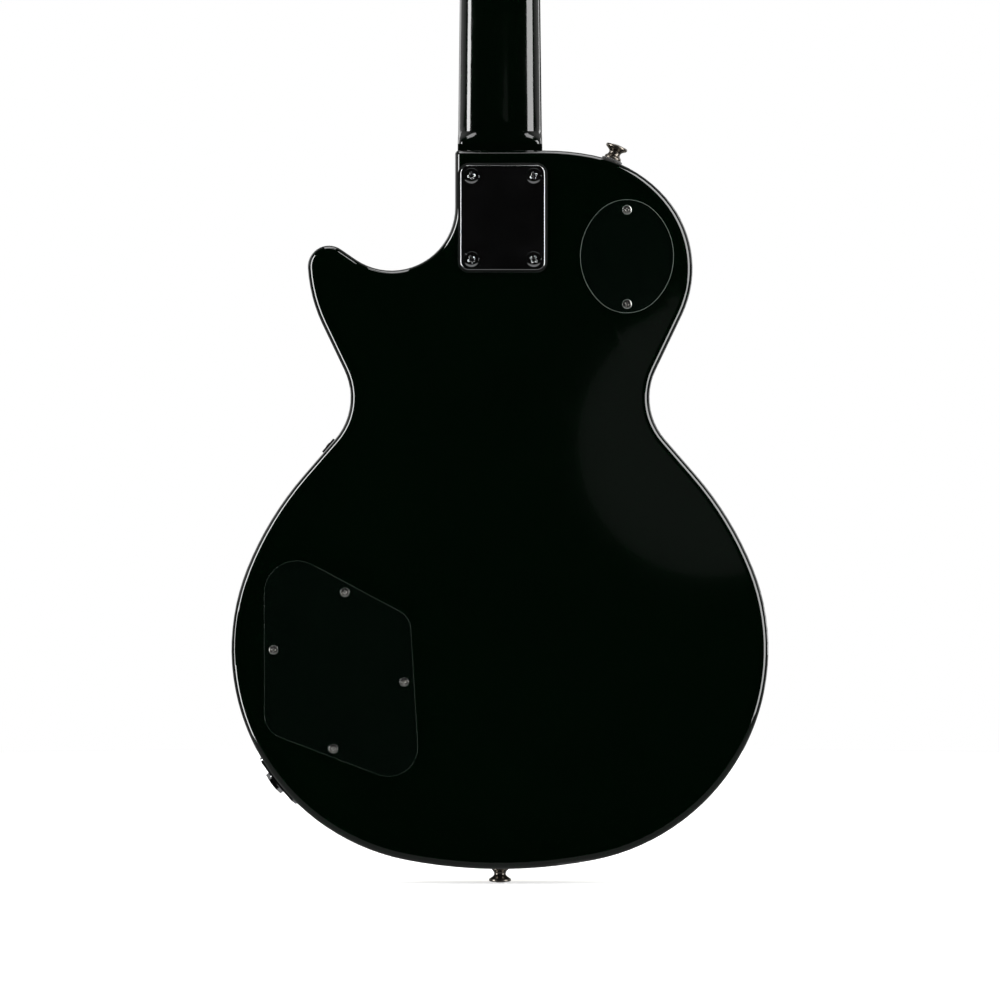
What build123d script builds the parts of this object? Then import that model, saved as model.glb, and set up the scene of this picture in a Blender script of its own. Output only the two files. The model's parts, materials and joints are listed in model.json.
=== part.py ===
from build123d import *
import math
import os

import numpy as np

# Single-cutaway solid-body electric guitar with a bolt-on neck.
#
# Everything is first laid out on the bench: X to the treble side, Y towards the headstock and
# Z up out of the front. The origin is the seat of the end strap button, at mid depth of the rim.
# UPRIGHT then stands the instrument on that end, with its front facing -Y.

UPRIGHT = Location((0, 0, 0), (90, 0, 0))

# ------------------------------------------------------------------ driving sizes, mm and degrees
SCALE_LENGTH = 628.0
FRET_COUNT = 22
JOINT_FRET = 16
NECK_ANGLE = 2.75
HEAD_ANGLE = 14.0

# Body
RIM_DEPTH = 42.0
CAP_RIM = 8.0
ARCH_RISE = 7.0
ARCH_LEDGE = 5.0
ARCH_WIDTH = 28.0
ARCH_GRID = 9.0
ARCH_TOLERANCE = 0.2
BACK_ROUND = 5.0
BINDING_TALL = 6.0
BINDING_THICK = 1.5
BINDING_ROUND = 0.8

# Outline, walked from the bottom centre with the treble side on the right.
# Each step is (radius, turn in degrees, left positive), or (0, length) for a straight.
LOWER_STEPS = ((303.0, 11.0), (132.0, 100.8), (202.0, 19.2), (0, 28.6), (39.4, -66.6))
BASS_STEPS = ((0, 37.2), (66.0, 66.6), (80.7, 37.8), (150.0, 11.2))
HORN_STEPS = ((0, 31.0), (93.0, 22.0), (13.0, 128.1), (0, 10.9))
LOWER_BOUT = 1
WAIST_FLANK = 3
BASS_SHOULDER = 2
HEEL_CORNER = 2.5
POCKET_WALL = 1.4

# Neck
NUT_WIDTH = 43.0
JOINT_WIDTH = 52.3
NECK_DEPTH_NUT = 15.0
NECK_DEPTH_JOINT = 17.8
NECK_ROUNDNESS = 2.5
BLOCK_ROUNDNESS = 9.0
HEEL_DEPTH = 21.0
HEEL_REACH = 6.5
HEEL_SHOULDER = 8.0
HEAD_BLEND = 22.0
POCKET_GAP = 0.1
BOARD_THICK = 6.0
BOARD_RADIUS = 305.0
BOARD_LIFT = 0.3
BOARD_PAST_FRET = 6.0
TENON_SETBACK = 3.0
FRET_WIDE = 2.4
FRET_TALL = 1.1
TANG_WIDE = 0.6
TANG_DEEP = 2.0
FRET_INSET = 0.3
MARKER_RADIUS = 3.0
MARKER_DEEP = 1.6
MARKED_FRETS = (3, 5, 7, 9, 15, 17, 19, 21)
OCTAVE_FRET = 12
OCTAVE_SPREAD = 9.5
NUT_THICK = 5.0
NUT_ABOVE_STRING = 0.5

# Truss rod
ROD_RADIUS = 2.5
ROD_LOW = 7.0
ROD_START = -40.0
ROD_NUT_RADIUS = 3.5
ROD_NUT_LENGTH = 9.0
ROD_GAP = 0.2
ROD_POCKET_WIDE = 10.0
ROD_POCKET_LONG = 26.0
ROD_POCKET_DEEP = 9.0
ROD_COVER = (24.0, 38.0, 1.6)
ROD_COVER_SCREWS = ((-8.0, 5.0), (8.0, 5.0), (0, 34.0))

# Headstock and tuners
HEAD_THICK = 14.0
HEAD_LENGTH = 178.0
HEAD_SHOULDER = (36.5, 34.0)
HEAD_TIP = (31.5, 168.0)
HEAD_FLARE_RADIUS = 40.0
HEAD_CORNER = 9.0
TUNER_FIRST = 46.0
TUNER_PITCH = 40.0
TUNER_X = 24.0
POST_RADIUS = 3.0
POST_WAIST = 2.4
POST_TALL = 14.0
WAIST_LOW = 5.0
WAIST_HIGH = 10.0
WRAP_HEIGHT = 7.0
WRAP_TURNS = 3
RUNNING_GAP = 0.05
BUSHING_RADIUS = 4.9
BUSHING_NUT = 11.0
BUSHING_NUT_TALL = 2.2
GEAR_RADIUS = 5.2
GEAR_THICK = 4.0
GEAR_TEETH = 14
WORM_RADIUS = 2.5
WORM_LENGTH = 11.0
WORM_GAP = 0.1
KEY_SHAFT_RADIUS = 1.6
KEY_LOW = 4.2
HOUSING = (18.0, 22.5, 9.0)
HOUSING_WALL = 1.6
HOUSING_TOP_MARGIN = 8.2
HOUSING_EAR = 3.4
EAR_THICK = 1.5
KEY_BUTTON = (17.0, 8.0, 14.0)
KEY_CLEAR_EDGE = 4.5

# Strings, lowest first
STRING_GAUGES = (1.17, 0.91, 0.66, 0.43, 0.33, 0.25)
NUT_SPREAD = 35.0
BRIDGE_SPREAD = 52.0
STRING_AT_NUT = 7.8
STRING_AT_BRIDGE = 10.6
STRING_BEND = 3.0
BALL_RADIUS = 1.9
BALL_LENGTH = 4.0
GROOVE_OPEN = 4.0
GROOVE_LONG = 12.0

# Neck plate
PLATE = (51.6, 64.0, 1.5)
PLATE_CORNER = 5.0
CUSHION_MARGIN = 1.5
CUSHION_THICK = 1.3
PLATE_X = -1.65
PLATE_BELOW_JOINT = 41.6
NECK_SCREW_PATTERN = (38.1, 51.0)
NECK_SCREW = (9.0, 4.6, 41.0)

# Back covers
COVER_THICK = 2.4
COVER_GAP = 0.25
SWITCH_COVER = (57.3, 69.5)
SWITCH_COVER_END = 24.0
SWITCH_COVER_AT = (-77.7, 375.5)
SWITCH_COVER_SCREWS = ((-77.8, 403.9), (-77.8, 346.2))
SWITCH_CAVITY_RADIUS = 22.0
CONTROL_CORNERS = ((144.4, 202.6, 20.0), (55.0, 154.8, 13.0), (48.7, 48.4, 18.0), (144.2, 84.7, 15.0))
CONTROL_SCREWS = ((94.9, 169.8), (138.6, 134.6), (58.7, 115.0), (102.0, 74.1))
CONTROL_LEDGE = 6.0
SCREW_BOSS = 6.5
COVER_SCREW = (5.4, 2.6, 9.0)
COVER_SCREW_RING = 1.0

# Strap buttons
BUTTON_FLARE = 6.8
BUTTON_NECK = 3.6
BUTTON_BASE = 5.4
BUTTON_TALL = 8.8
FELT = (6.5, 2.0)
BUTTON_SCREW = (7.4, 3.8, 30.0)
SHOULDER_BUTTON_HEADING = 160.0

# Output jack
JACK_HEADING = 51.9
JACK_PLATE = (36.0, 31.0, 1.2)
JACK_PLATE_CORNER = 4.0
JACK_PLATE_SCREWS = (27.0, 23.0)
JACK_SCREW_SUNK = 0.15
JACK_BORE = 3.25
JACK_BORE_DEEP = 26.0
JACK_BUSHING = 4.7
JACK_PROUD = 4.6
JACK_BARREL = 6.0
JACK_BARREL_LENGTH = 24.0
JACK_SHOULDER = 0.2
JACK_HOLE = 11.0
JACK_HOLE_DEEP = 48.0

# Pots and knobs
PANEL_WALL = 6.0
POTS = ((78.0, 146.0), (120.0, 168.0), (75.0, 92.0), (118.0, 112.0))
POT_RADIUS = 12.0
POT_TALL = 9.0
POT_POCKET_GAP = 1.8
POT_BUSHING = 4.7
POT_BUSHING_PROUD = 3.5
POT_SHAFT = 3.0
KNOB_RADIUS = 12.5
KNOB_TOP_RADIUS = 10.5
KNOB_TALL = 15.0
KNOB_LIFT = 0.6
KNOB_HOLLOW = 9.4
KNOB_HOLLOW_TALL = 4.2
WASHER = (8.0, 0.7)
SEAT_GAP = 0.1
PANEL_NUT = (12.7, 2.3)
NUT_THREAD_GAP = 0.02

# Toggle switch
SWITCH_X_SHIFT = 5.7
SWITCH_BUSHING = 6.0
SWITCH_BORE = 4.8
SWITCH_BUSHING_PROUD = 4.0
SWITCH_PLATE = (12.0, 32.0, 2.0)
SWITCH_POCKET = (16.0, 36.0)
SWITCH_PIVOT_UNDER = 9.0
SWITCH_PIN = (1.2, 11.2)
LEVER_RADIUS = 1.6
LEVER_ABOVE = 21.0
LEVER_BELOW = 10.0
LEVER_TIP = (3.6, 13.0)
SWITCH_RING = (10.0, 1.0)
SWITCH_LEAF = (6.0, 0.6, 20.0)
SWITCH_LEAF_Y = 6.5

# Pickups
PICKUP = (70.0, 38.0, 15.0)
PICKUP_WALL = 0.8
PICKUP_CORNER = 3.0
PICKUP_UNDER_STRING = 3.0
PICKUP_LEG = (84.0, 11.0, 1.4)
PICKUP_LEG_DROP = 3.0
PICKUP_SCREW_X = 40.0
HEIGHT_SCREW = (4.2, 2.5, 26.0)
RING = (89.0, 46.0)
RING_OPENING = (71.5, 39.5)
RING_BELOW_TOP = 3.5
RING_SCREWS = (82.0, 39.0)
POLE_RADIUS = 2.3
POLE_PROUD = 0.6
POLE_OFFSET = 9.5
PICKUP_POCKET = (73.0, 41.0)
PICKUP_LEG_POCKET = (88.0, 14.0)
PICKUP_POCKET_DEEP = 25.0
NECK_RING_GAP = 1.5
BRIDGE_RING_GAP = 13.0

# Bridge and tailpiece
BRIDGE = (84.0, 12.0, 7.5)
BRIDGE_BELOW_STRING = 3.6
BRIDGE_CHANNEL = (64.0, 9.0, 5.5)
BRIDGE_STUD_SPAN = 74.0
BRIDGE_STUD = 2.9
STUD_DEEP = 22.0
THUMBWHEEL = (7.5, 2.2)
SADDLE = (8.0, 5.0)
SADDLE_SCREW = 1.0
SADDLE_SCREW_HEAD = (1.8, 1.2)
SADDLE_SCREW_LOW = 3.6
INTONATION = (-1.6, -0.9, -0.2, -0.9, -0.2, 0.6)
TAIL_BEHIND = 42.0
TAIL_BAR = (84.0, 14.0, 10.0)
TAIL_LUG = 5.0
TAIL_STUD_SPAN = 82.0
TAIL_STUD = 3.8
TAIL_STUD_HEAD = (7.0, 3.0)
TAIL_LIFT = 3.0
TAIL_HOLE = 1.4

# Pickguard
GUARD_THICK = 2.4
GUARD_LIFT = 5.6
GUARD_CORNERS = ((46.0, 352.0, 3.0), (58.0, 349.0, 8.0), (84.0, 290.0, 40.0), (102.0, 258.0, 14.0),
                 (94.0, 226.0, 30.0), (66.0, 201.0, 12.0), (46.0, 201.0, 3.0))
BRACKET = (10.5, 1.8, 19.0)
BRACKET_LOW = 3.0
BRACKET_SCREW_UP = 5.0
BRACKET_ALONG = 23.0
BRACKET_SCREW_IN = 14.5
STANDOFF_AT = (53.0, 341.0)
STANDOFF = 4.0
STANDOFF_SINK = 1.5

TRIM_SCREW = (4.2, 2.0, 9.0)
SCREW_FIT = 0.03
STRING_FIT = 0.05

# Wiring
CHANNEL_RADIUS = 4.0
CHANNEL_Z = 2.0
WIRE_RADIUS = 1.5
WIRE_BEND = 9.0
WIRE_REST = 0.3
CAPACITOR = (4.0, 3.0)
KNOB_NAMES = ("neck_volume_knob", "neck_tone_knob", "bridge_volume_knob", "bridge_tone_knob")

# ------------------------------------------------------------------------------- derived levels
BACK = -RIM_DEPTH / 2
RIM_TOP = RIM_DEPTH / 2
SLAB_TOP = RIM_TOP - CAP_RIM
PLATEAU = RIM_TOP + ARCH_RISE
SEAT_LOW = PLATEAU + SEAT_GAP
PANEL_UNDER = PLATEAU - PANEL_WALL


# ------------------------------------------------------------------------------ outline geometry
def step_end(point, heading, step):
    """The end and the heading of one straight or arc that starts at a point."""
    radius, amount = step
    start = math.radians(heading)
    if radius == 0:
        return (point[0] + amount * math.cos(start), point[1] + amount * math.sin(start)), heading
    side = math.copysign(radius, amount)
    end = math.radians(heading + amount)
    x = point[0] + side * (math.sin(end) - math.sin(start))
    y = point[1] - side * (math.cos(end) - math.cos(start))
    return (x, y), heading + amount


def walk(point, heading, steps):
    """Each step of an outline as (start, heading, step), and then its end."""
    legs = []
    for step in steps:
        legs.append((point, heading, step))
        point, heading = step_end(point, heading, step)
    return legs, point, heading


def leg_edges(legs):
    """The legs of a walk as edges."""
    edges = []
    for point, heading, (radius, amount) in legs:
        direction = (math.cos(math.radians(heading)), math.sin(math.radians(heading)))
        if radius == 0:
            end = (point[0] + amount * direction[0], point[1] + amount * direction[1])
            edges.append(Line(point, end))
        else:
            edges.append(JernArc(point, direction, radius, amount))
    return edges


def cutaway_step(point, heading, wall_x):
    """The arc that ends the cutaway, heading straight up along the wall beside the neck."""
    turn = 90 - heading
    radius = (point[0] - wall_x) / (math.sin(math.radians(90)) - math.sin(math.radians(heading)))
    return radius, turn


LOWER_LEGS, WAIST_END, WAIST_HEADING = walk((0, 0), 0, LOWER_STEPS)
BASS_LEGS, BASS_END, BASS_HEADING = walk(WAIST_END, WAIST_HEADING, BASS_STEPS)
HORN_LEGS, HORN_END, HORN_HEADING = walk(WAIST_END, WAIST_HEADING, HORN_STEPS)
JOINT_Y = BASS_END[1]
WALL_X = JOINT_WIDTH / 2 + POCKET_WALL
CUTAWAY_STEP = cutaway_step(HORN_END, HORN_HEADING, WALL_X)
CUTAWAY_LEGS, CUTAWAY_END, UP_HEADING = walk(HORN_END, HORN_HEADING, (CUTAWAY_STEP,))


def body_outline():
    """The outline of the body, seen from the front."""
    wall_top = JOINT_Y - HEEL_CORNER
    treble = leg_edges(LOWER_LEGS + HORN_LEGS + CUTAWAY_LEGS)
    treble.append(Line(CUTAWAY_END, (CUTAWAY_END[0], wall_top)))
    treble.append(JernArc((CUTAWAY_END[0], wall_top), (0, 1), HEEL_CORNER, 90))
    bass = [mirror(edge, about=Plane.YZ) for edge in leg_edges(LOWER_LEGS + BASS_LEGS)]
    top = Line((CUTAWAY_END[0] - HEEL_CORNER, JOINT_Y), (-BASS_END[0], JOINT_Y))
    return make_face(Curve() + treble + bass + top)


def rim_place(leg, heading, side, z):
    """A frame on the rim of an arc leg: its Z points out of the wall and its Y towards the front."""
    start, start_heading, (radius, _) = leg
    point, _ = step_end(start, start_heading, (radius, heading - start_heading))
    out = math.radians(heading - 90)
    normal = (side * math.cos(out), math.sin(out), 0)
    return Plane(origin=(side * point[0], point[1], z),
                 x_dir=Vector(0, 0, 1).cross(Vector(*normal)), z_dir=normal)


def flank_place(along, z):
    """A frame on the straight flank below the treble waist."""
    start, heading, _ = LOWER_LEGS[WAIST_FLANK]
    point, _ = step_end(start, heading, (0, along))
    out = math.radians(heading - 90)
    normal = (math.cos(out), math.sin(out), 0)
    return Plane(origin=(point[0], point[1], z),
                 x_dir=Vector(0, 0, 1).cross(Vector(*normal)), z_dir=normal)


# --------------------------------------------------------------------------------- neck geometry
def fret_distance(number):
    """The distance from the nut to a fret."""
    return SCALE_LENGTH * (1 - 2 ** (-number / 12))


JOINT_TO_NUT = fret_distance(JOINT_FRET)
BOARD_END = JOINT_TO_NUT - fret_distance(FRET_COUNT) - BOARD_PAST_FRET
HEEL_END = BOARD_END + TENON_SETBACK
HEAD_START = JOINT_TO_NUT + NUT_THICK
BRIDGE_LOCAL = JOINT_TO_NUT - SCALE_LENGTH
TILT = math.radians(NECK_ANGLE)
SEAT_Z = PLATEAU + BOARD_LIFT + BOARD_END * math.sin(TILT)

# The neck frame lies on the underside of the fretboard at the body joint, with Y to the nut.
NECK = Location((0, JOINT_Y, SEAT_Z), (-NECK_ANGLE, 0, 0))
HEAD_ON_NECK = Location((0, HEAD_START, 0), (-HEAD_ANGLE, 0, 0))
HEAD = NECK * HEAD_ON_NECK


def half_width(y):
    """Half the width of the neck at a distance from the joint."""
    return (JOINT_WIDTH + (NUT_WIDTH - JOINT_WIDTH) * y / JOINT_TO_NUT) / 2


def string_height(y):
    """The height of the strings' centres over the underside of the fretboard."""
    share = (JOINT_TO_NUT - y) / SCALE_LENGTH
    return STRING_AT_NUT + (STRING_AT_BRIDGE - STRING_AT_NUT) * share


def string_x(number, y):
    """How far a string lies from the centre line, at a distance from the joint."""
    share = (JOINT_TO_NUT - y) / SCALE_LENGTH
    spread = NUT_SPREAD + (BRIDGE_SPREAD - NUT_SPREAD) * share
    return spread * (number / 5 - 0.5)


def bench_point(frame, x, y, z):
    """A point of a frame, on the bench."""
    return (frame * Location((x, y, z))).position


def string_z_on_bench(y):
    """The bench height of the strings over a place on the body."""
    local = (y - JOINT_Y) / math.cos(TILT)
    return bench_point(NECK, 0, local, string_height(local)).Z


BRIDGE_Y = bench_point(NECK, 0, BRIDGE_LOCAL, STRING_AT_BRIDGE).Y
BOARD_END_Y = bench_point(NECK, 0, BOARD_END, 0).Y
NECK_PICKUP_Y = BOARD_END_Y - NECK_RING_GAP - RING[1] / 2
BRIDGE_PICKUP_Y = BRIDGE_Y + BRIDGE_RING_GAP + RING[1] / 2
PLATE_Y = JOINT_Y - PLATE_BELOW_JOINT
SWITCH_AT = (SWITCH_COVER_AT[0] + SWITCH_X_SHIFT, SWITCH_COVER_AT[1])
JACK_PLACE = rim_place(LOWER_LEGS[LOWER_BOUT], JACK_HEADING, 1, 0)
SHOULDER_PLACE = rim_place(BASS_LEGS[BASS_SHOULDER], SHOULDER_BUTTON_HEADING, -1, 0)
END_PLACE = rim_place(LOWER_LEGS[0], 0, 1, 0)
BRACKET_PLACE = flank_place(BRACKET_ALONG, 0)
BRACKET_SIDE_SCREW = BRACKET_PLACE.location * Pos(0, BRACKET_LOW + BRACKET_SCREW_UP, BRACKET[1])
BUTTON_SEATS = ((SHOULDER_PLACE, FELT[1]), (END_PLACE, 0.0))
GUARD_UNDER = PLATEAU + GUARD_LIFT


def pickup_frame(y):
    """The frame of a pickup: on the middle of its cover's top, parallel with the strings."""
    top = string_z_on_bench(y) - PICKUP_UNDER_STRING
    return Location((0, y, top), (-NECK_ANGLE, 0, 0))


NECK_PICKUP = pickup_frame(NECK_PICKUP_Y)
BRIDGE_PICKUP = pickup_frame(BRIDGE_PICKUP_Y)


# --------------------------------------------------------------------------------------- helpers
def turned(*points):
    """A solid of revolution about Z from its half section, given as (radius, height)."""
    section = make_face(Polyline(*points, close=True))
    return revolve(Plane.XZ * section, Axis.Z)


def ring(outer, inner, low, high):
    """A plain tube about Z."""
    return turned((inner, low), (outer, low), (outer, high), (inner, high))


def rod(radius, low, high):
    """A plain cylinder about Z."""
    return turned((0, low), (radius, low), (radius, high), (0, high))


def slab(shape, low, high):
    """A flat sketch extruded between two heights."""
    return extrude(Pos(0, 0, low) * shape, high - low)


def grid(width, height):
    """The four corners of a screw pattern."""
    return [(x * width / 2, y * height / 2) for x in (-1, 1) for y in (-1, 1)]


def rounded_polygon(corners):
    """A polygon whose corners are given as (x, y, radius)."""
    shape = make_face(Polyline(*[corner[:2] for corner in corners], close=True))
    for x, y, radius in corners:
        shape = fillet(shape.vertices().sort_by_distance(Vector(x, y))[0], radius)
    return shape


def screw(sizes, dome=0.6):
    """A raised countersunk cross-head screw, its rim at zero and its shank pointing down."""
    head, shank, length = sizes
    cone = (head - shank) / 2
    point = shank / 2
    crown = ThreePointArc((0, dome), (head / 4, dome * 0.75), (head / 2, 0))
    rest = Polyline((head / 2, 0), (shank / 2, -cone), (shank / 2, point - length), (0, -length), (0, dome))
    body = revolve(Plane.XZ * make_face(crown + rest), Axis.Z)
    slot = Box(head * 0.5, head * 0.11, head * 0.4)
    return body - Pos(0, 0, dome) * (slot + Rot(0, 0, 90) * slot)


def screw_hole(sizes):
    """The cut that a screw sits in, with its head sunk and free above."""
    head, shank, length = sizes
    cone = (head - shank) / 2
    wide = head / 2 + SCREW_FIT
    narrow = shank / 2 + SCREW_FIT
    return turned((0, 5), (wide, 5), (wide, 0), (narrow, -cone), (narrow, -length), (0, -length))


def directed(start, end, radius):
    """A cylinder from one point to another."""
    along = end - start
    return Plane(start, z_dir=along) * rod(radius, 0, along.length)


def string_groove(start, end, radius):
    """A groove for a string between two points, open towards the front."""
    along = end - start
    bed = rod(radius, 0, along.length) + Pos(0, -GROOVE_OPEN / 2, along.length / 2) * Box(
        2 * radius, GROOVE_OPEN, along.length)
    return Plane(start, x_dir=(1, 0, 0), z_dir=along) * bed


def hex_nut(across, bore, low, high):
    """A hexagon nut about Z."""
    blank = RegularPolygon(across / 2, 6, major_radius=False)
    return slab(blank - Circle(bore), low, high)


def place_all(piece, spots, z=0.0):
    """Copies of one piece at flat places."""
    return [Pos(x, y, z) * piece for x, y in spots]


def save(name, *shapes):
    """Stands the shapes of one node upright and writes them."""
    solids = []
    for shape in shapes:
        solids += shape.moved(UPRIGHT).solids()
    export_step(Compound(solids), f"parts/{name}.step")


# ------------------------------------------------------------------------------------------ body
def rim_samples():
    """Points along the outline, close enough together to measure distances from."""
    samples = []
    for edge in body_outline().edges():
        count = max(2, int(edge.length / 2))
        samples += [edge.position_at(i / count) for i in range(count)]
    return np.array([(point.X, point.Y) for point in samples])


def arch_height(x, y, inside, samples):
    """How far the arched top stands over the rim."""
    if not inside:
        return 0.0
    distance = np.hypot(samples[:, 0] - x, samples[:, 1] - y).min()
    share = min(max((distance - ARCH_LEDGE) / ARCH_WIDTH, 0.0), 1.0)
    return ARCH_RISE * share * share * (3 - 2 * share)


def inside_outline(x, y, samples):
    """Whether a point lies inside the closed ring of samples."""
    after = np.roll(samples, -1, axis=0)
    crosses = (samples[:, 1] > y) != (after[:, 1] > y)
    rise = after[:, 1] - samples[:, 1]
    rise[rise == 0] = 1e-9
    at = samples[:, 0] + (y - samples[:, 1]) * (after[:, 0] - samples[:, 0]) / rise
    return np.count_nonzero(crosses & (at > x)) % 2 == 1


def arch_solid():
    """A thick sheet under the arched surface, wider than the body."""
    samples = rim_samples()
    low = samples.min(axis=0) - ARCH_GRID
    high = samples.max(axis=0) + ARCH_GRID
    columns = np.linspace(low[0], high[0], int((high[0] - low[0]) / ARCH_GRID))
    rows = np.linspace(low[1], high[1], int((high[1] - low[1]) / ARCH_GRID))
    points = []
    for x in columns:
        heights = [arch_height(x, y, inside_outline(x, y, samples), samples) for y in rows]
        points.append([Vector(x, y, RIM_TOP + height) for y, height in zip(rows, heights)])
    sheet = Face.make_surface_from_array_of_points(points, tol=ARCH_TOLERANCE, min_deg=3, max_deg=3)
    return Solid.extrude(sheet, Vector(0, 0, -RIM_DEPTH))


def heel_plan(gap):
    """The neck heel in plan, in the neck frame, grown by a gap."""
    ends = (HEEL_END - gap, HEEL_REACH)
    return make_face(Polyline((-half_width(ends[0]) - gap, ends[0]), (half_width(ends[0]) + gap, ends[0]),
                              (half_width(ends[1]) + gap, ends[1]), (-half_width(ends[1]) - gap, ends[1]),
                              close=True))


def neck_pocket():
    """What is cut from the body for the heel, open at the top edge and at the front."""
    return NECK * slab(heel_plan(POCKET_GAP), -HEEL_DEPTH, RIM_DEPTH)


def pickup_pocket(y):
    """The pocket of one pickup, from above the front down past its legs."""
    plan = Rectangle(*PICKUP_POCKET) + Rectangle(*PICKUP_LEG_POCKET)
    return Pos(0, y, 0) * slab(plan, PLATEAU - PICKUP_POCKET_DEEP, PLATEAU + RIM_DEPTH)


def switch_cover_plan():
    """An oval of four tangent arcs."""
    half_wide = SWITCH_COVER[0] / 2
    half_tall = SWITCH_COVER[1] / 2
    reach = half_tall - SWITCH_COVER_END
    side = (half_wide ** 2 + reach ** 2 - SWITCH_COVER_END ** 2) / (2 * (half_wide - SWITCH_COVER_END))
    swing = math.degrees(math.atan2(reach, side - half_wide))
    start = (half_wide - side + side * math.cos(math.radians(swing)), -side * math.sin(math.radians(swing)))
    steps = ((side, 2 * swing), (SWITCH_COVER_END, 180 - 2 * swing)) * 2
    legs, _, _ = walk(start, 90 - swing, steps)
    return Pos(*SWITCH_COVER_AT) * make_face(Curve() + leg_edges(legs))


def control_cover_plan():
    """The back cover over the pots."""
    return rounded_polygon(CONTROL_CORNERS)


def control_cavity_plan():
    """The control cavity, which leaves a ledge for its cover and bosses for the screws."""
    plan = offset(control_cover_plan(), -CONTROL_LEDGE)
    return plan - place_all(Circle(SCREW_BOSS), CONTROL_SCREWS)


def switch_cavity_plan():
    """The round cavity under the switch cover."""
    return Pos(*SWITCH_COVER_AT) * Circle(SWITCH_CAVITY_RADIUS)


def neck_screw_spots():
    """The four neck screws on the back of the body."""
    return [(PLATE_X + x, PLATE_Y + y) for x, y in grid(*NECK_SCREW_PATTERN)]


PLATE_FACE = BACK - CUSHION_THICK - PLATE[2]
FACING_BACK = Rot(180, 0, 0)


def neck_screw_cuts():
    """The holes of the neck screws through plate, cushion, body and heel."""
    return place_all(FACING_BACK * screw_hole(NECK_SCREW), neck_screw_spots(), PLATE_FACE)


def cover_screw_spots():
    """The screws of both back covers."""
    return list(SWITCH_COVER_SCREWS) + list(CONTROL_SCREWS)


def wire_channels():
    """The drillings that carry the harness from the pots past both pickups to the switch."""
    cuts = []
    for start, end in zip(HARNESS_STOPS, HARNESS_STOPS[1:]):
        cuts.append(directed(Vector(*start, CHANNEL_Z), Vector(*end, CHANNEL_Z), CHANNEL_RADIUS))
        cuts.append(Pos(*end, CHANNEL_Z) * Sphere(CHANNEL_RADIUS))
    return cuts[:-1]


HARNESS_STOPS = (
    (POTS[0][0] - 4, POTS[0][1]),
    (30.0, BRIDGE_PICKUP_Y - 6),
    (10.0, BRIDGE_PICKUP_Y),
    (-6.0, NECK_PICKUP_Y),
    (-22.0, NECK_PICKUP_Y + 6),
    (SWITCH_COVER_AT[0] + 10, SWITCH_COVER_AT[1] - 6),
)


def stud_cuts():
    """The holes of the bridge and tailpiece studs."""
    holes = []
    for span, radius, y in ((BRIDGE_STUD_SPAN, BRIDGE_STUD, BRIDGE_Y), (TAIL_STUD_SPAN, TAIL_STUD, TAIL_Y)):
        for side in (-1, 1):
            low = PLATEAU - STUD_DEEP - 1
            holes.append(Pos(side * span / 2, y, 0) * rod(radius + SCREW_FIT, low, PLATEAU + 1))
    return holes


def jack_cuts():
    """The drilling of the output jack and the pilot holes of its plate."""
    cuts = [JACK_PLACE * rod(JACK_HOLE, -JACK_HOLE_DEEP, JACK_PLATE[2])]
    cuts += [JACK_PLACE * cut for cut in place_all(screw_hole(TRIM_SCREW), jack_screw_spots(), JACK_SCREW_SEAT)]
    return cuts


def jack_screw_spots():
    """The four screws of the jack plate, in the frame of the plate."""
    return grid(*JACK_PLATE_SCREWS)


JACK_PLATE_SAG = (JACK_PLATE_SCREWS[0] / 2) ** 2 / (2 * LOWER_STEPS[LOWER_BOUT][0])
JACK_SCREW_SEAT = JACK_PLATE[2] - JACK_PLATE_SAG - JACK_SCREW_SUNK


def button_screw_cuts():
    """The pilot holes of the strap button screws."""
    return [place * Pos(0, 0, lift + BUTTON_TALL) * screw_hole(BUTTON_SCREW) for place, lift in BUTTON_SEATS]


def back_edge(part):
    """The edges around the back face of the body, apart from those of the neck pocket."""
    return part.faces().sort_by(Axis.Z)[0].outer_wire().edges()


def make_body_back():
    """The mahogany slab with its pockets and cavities."""
    body = slab(body_outline(), BACK, SLAB_TOP)
    body = fillet(back_edge(body), BACK_ROUND)
    body -= slab(offset(switch_cover_plan(), COVER_GAP), BACK, BACK + COVER_THICK)
    body -= slab(offset(control_cover_plan(), COVER_GAP), BACK, BACK + COVER_THICK)
    body -= slab(control_cavity_plan(), BACK, SLAB_TOP)
    body -= slab(switch_cavity_plan(), BACK, SLAB_TOP)
    body -= neck_pocket()
    body -= [pickup_pocket(y) for y in (NECK_PICKUP_Y, BRIDGE_PICKUP_Y)]
    body -= neck_screw_cuts()
    body -= place_all(FACING_BACK * screw_hole(COVER_SCREW), cover_screw_spots(), BACK)
    body -= wire_channels() + jack_cuts() + button_screw_cuts() + stud_cuts()
    body -= BRACKET_SIDE_SCREW * screw_hole(TRIM_SCREW)
    return body


def make_top_cap():
    """The carved maple cap."""
    cap = slab(body_outline(), SLAB_TOP, PLATEAU + 1) & arch_solid()
    cap -= slab(body_outline() - inner_outline(), RIM_TOP - BINDING_TALL, PLATEAU + 1)
    cap -= neck_pocket()
    cap -= [pickup_pocket(y) for y in (NECK_PICKUP_Y, BRIDGE_PICKUP_Y)]
    cap -= place_all(rod(POT_RADIUS + POT_POCKET_GAP, SLAB_TOP, PANEL_UNDER), POTS)
    cap -= place_all(rod(POT_BUSHING + SCREW_FIT, SLAB_TOP, PLATEAU + 1), POTS)
    cap -= Pos(*SWITCH_AT) * slab(Rectangle(*SWITCH_POCKET), SLAB_TOP, PANEL_UNDER)
    cap -= Pos(*SWITCH_AT) * rod(SWITCH_BUSHING + SCREW_FIT, SLAB_TOP, PLATEAU + 1)
    cap -= stud_cuts()
    cap -= Pos(*STANDOFF_AT) * rod(STANDOFF, standoff_seat(), PLATEAU + 1)
    for y, top in ring_tops():
        cap -= [Pos(x, y + dy, ring_slope(y, dy)) * screw_hole(ring_screw(top)) for x, dy in grid(*RING_SCREWS)]
    return cap


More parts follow.
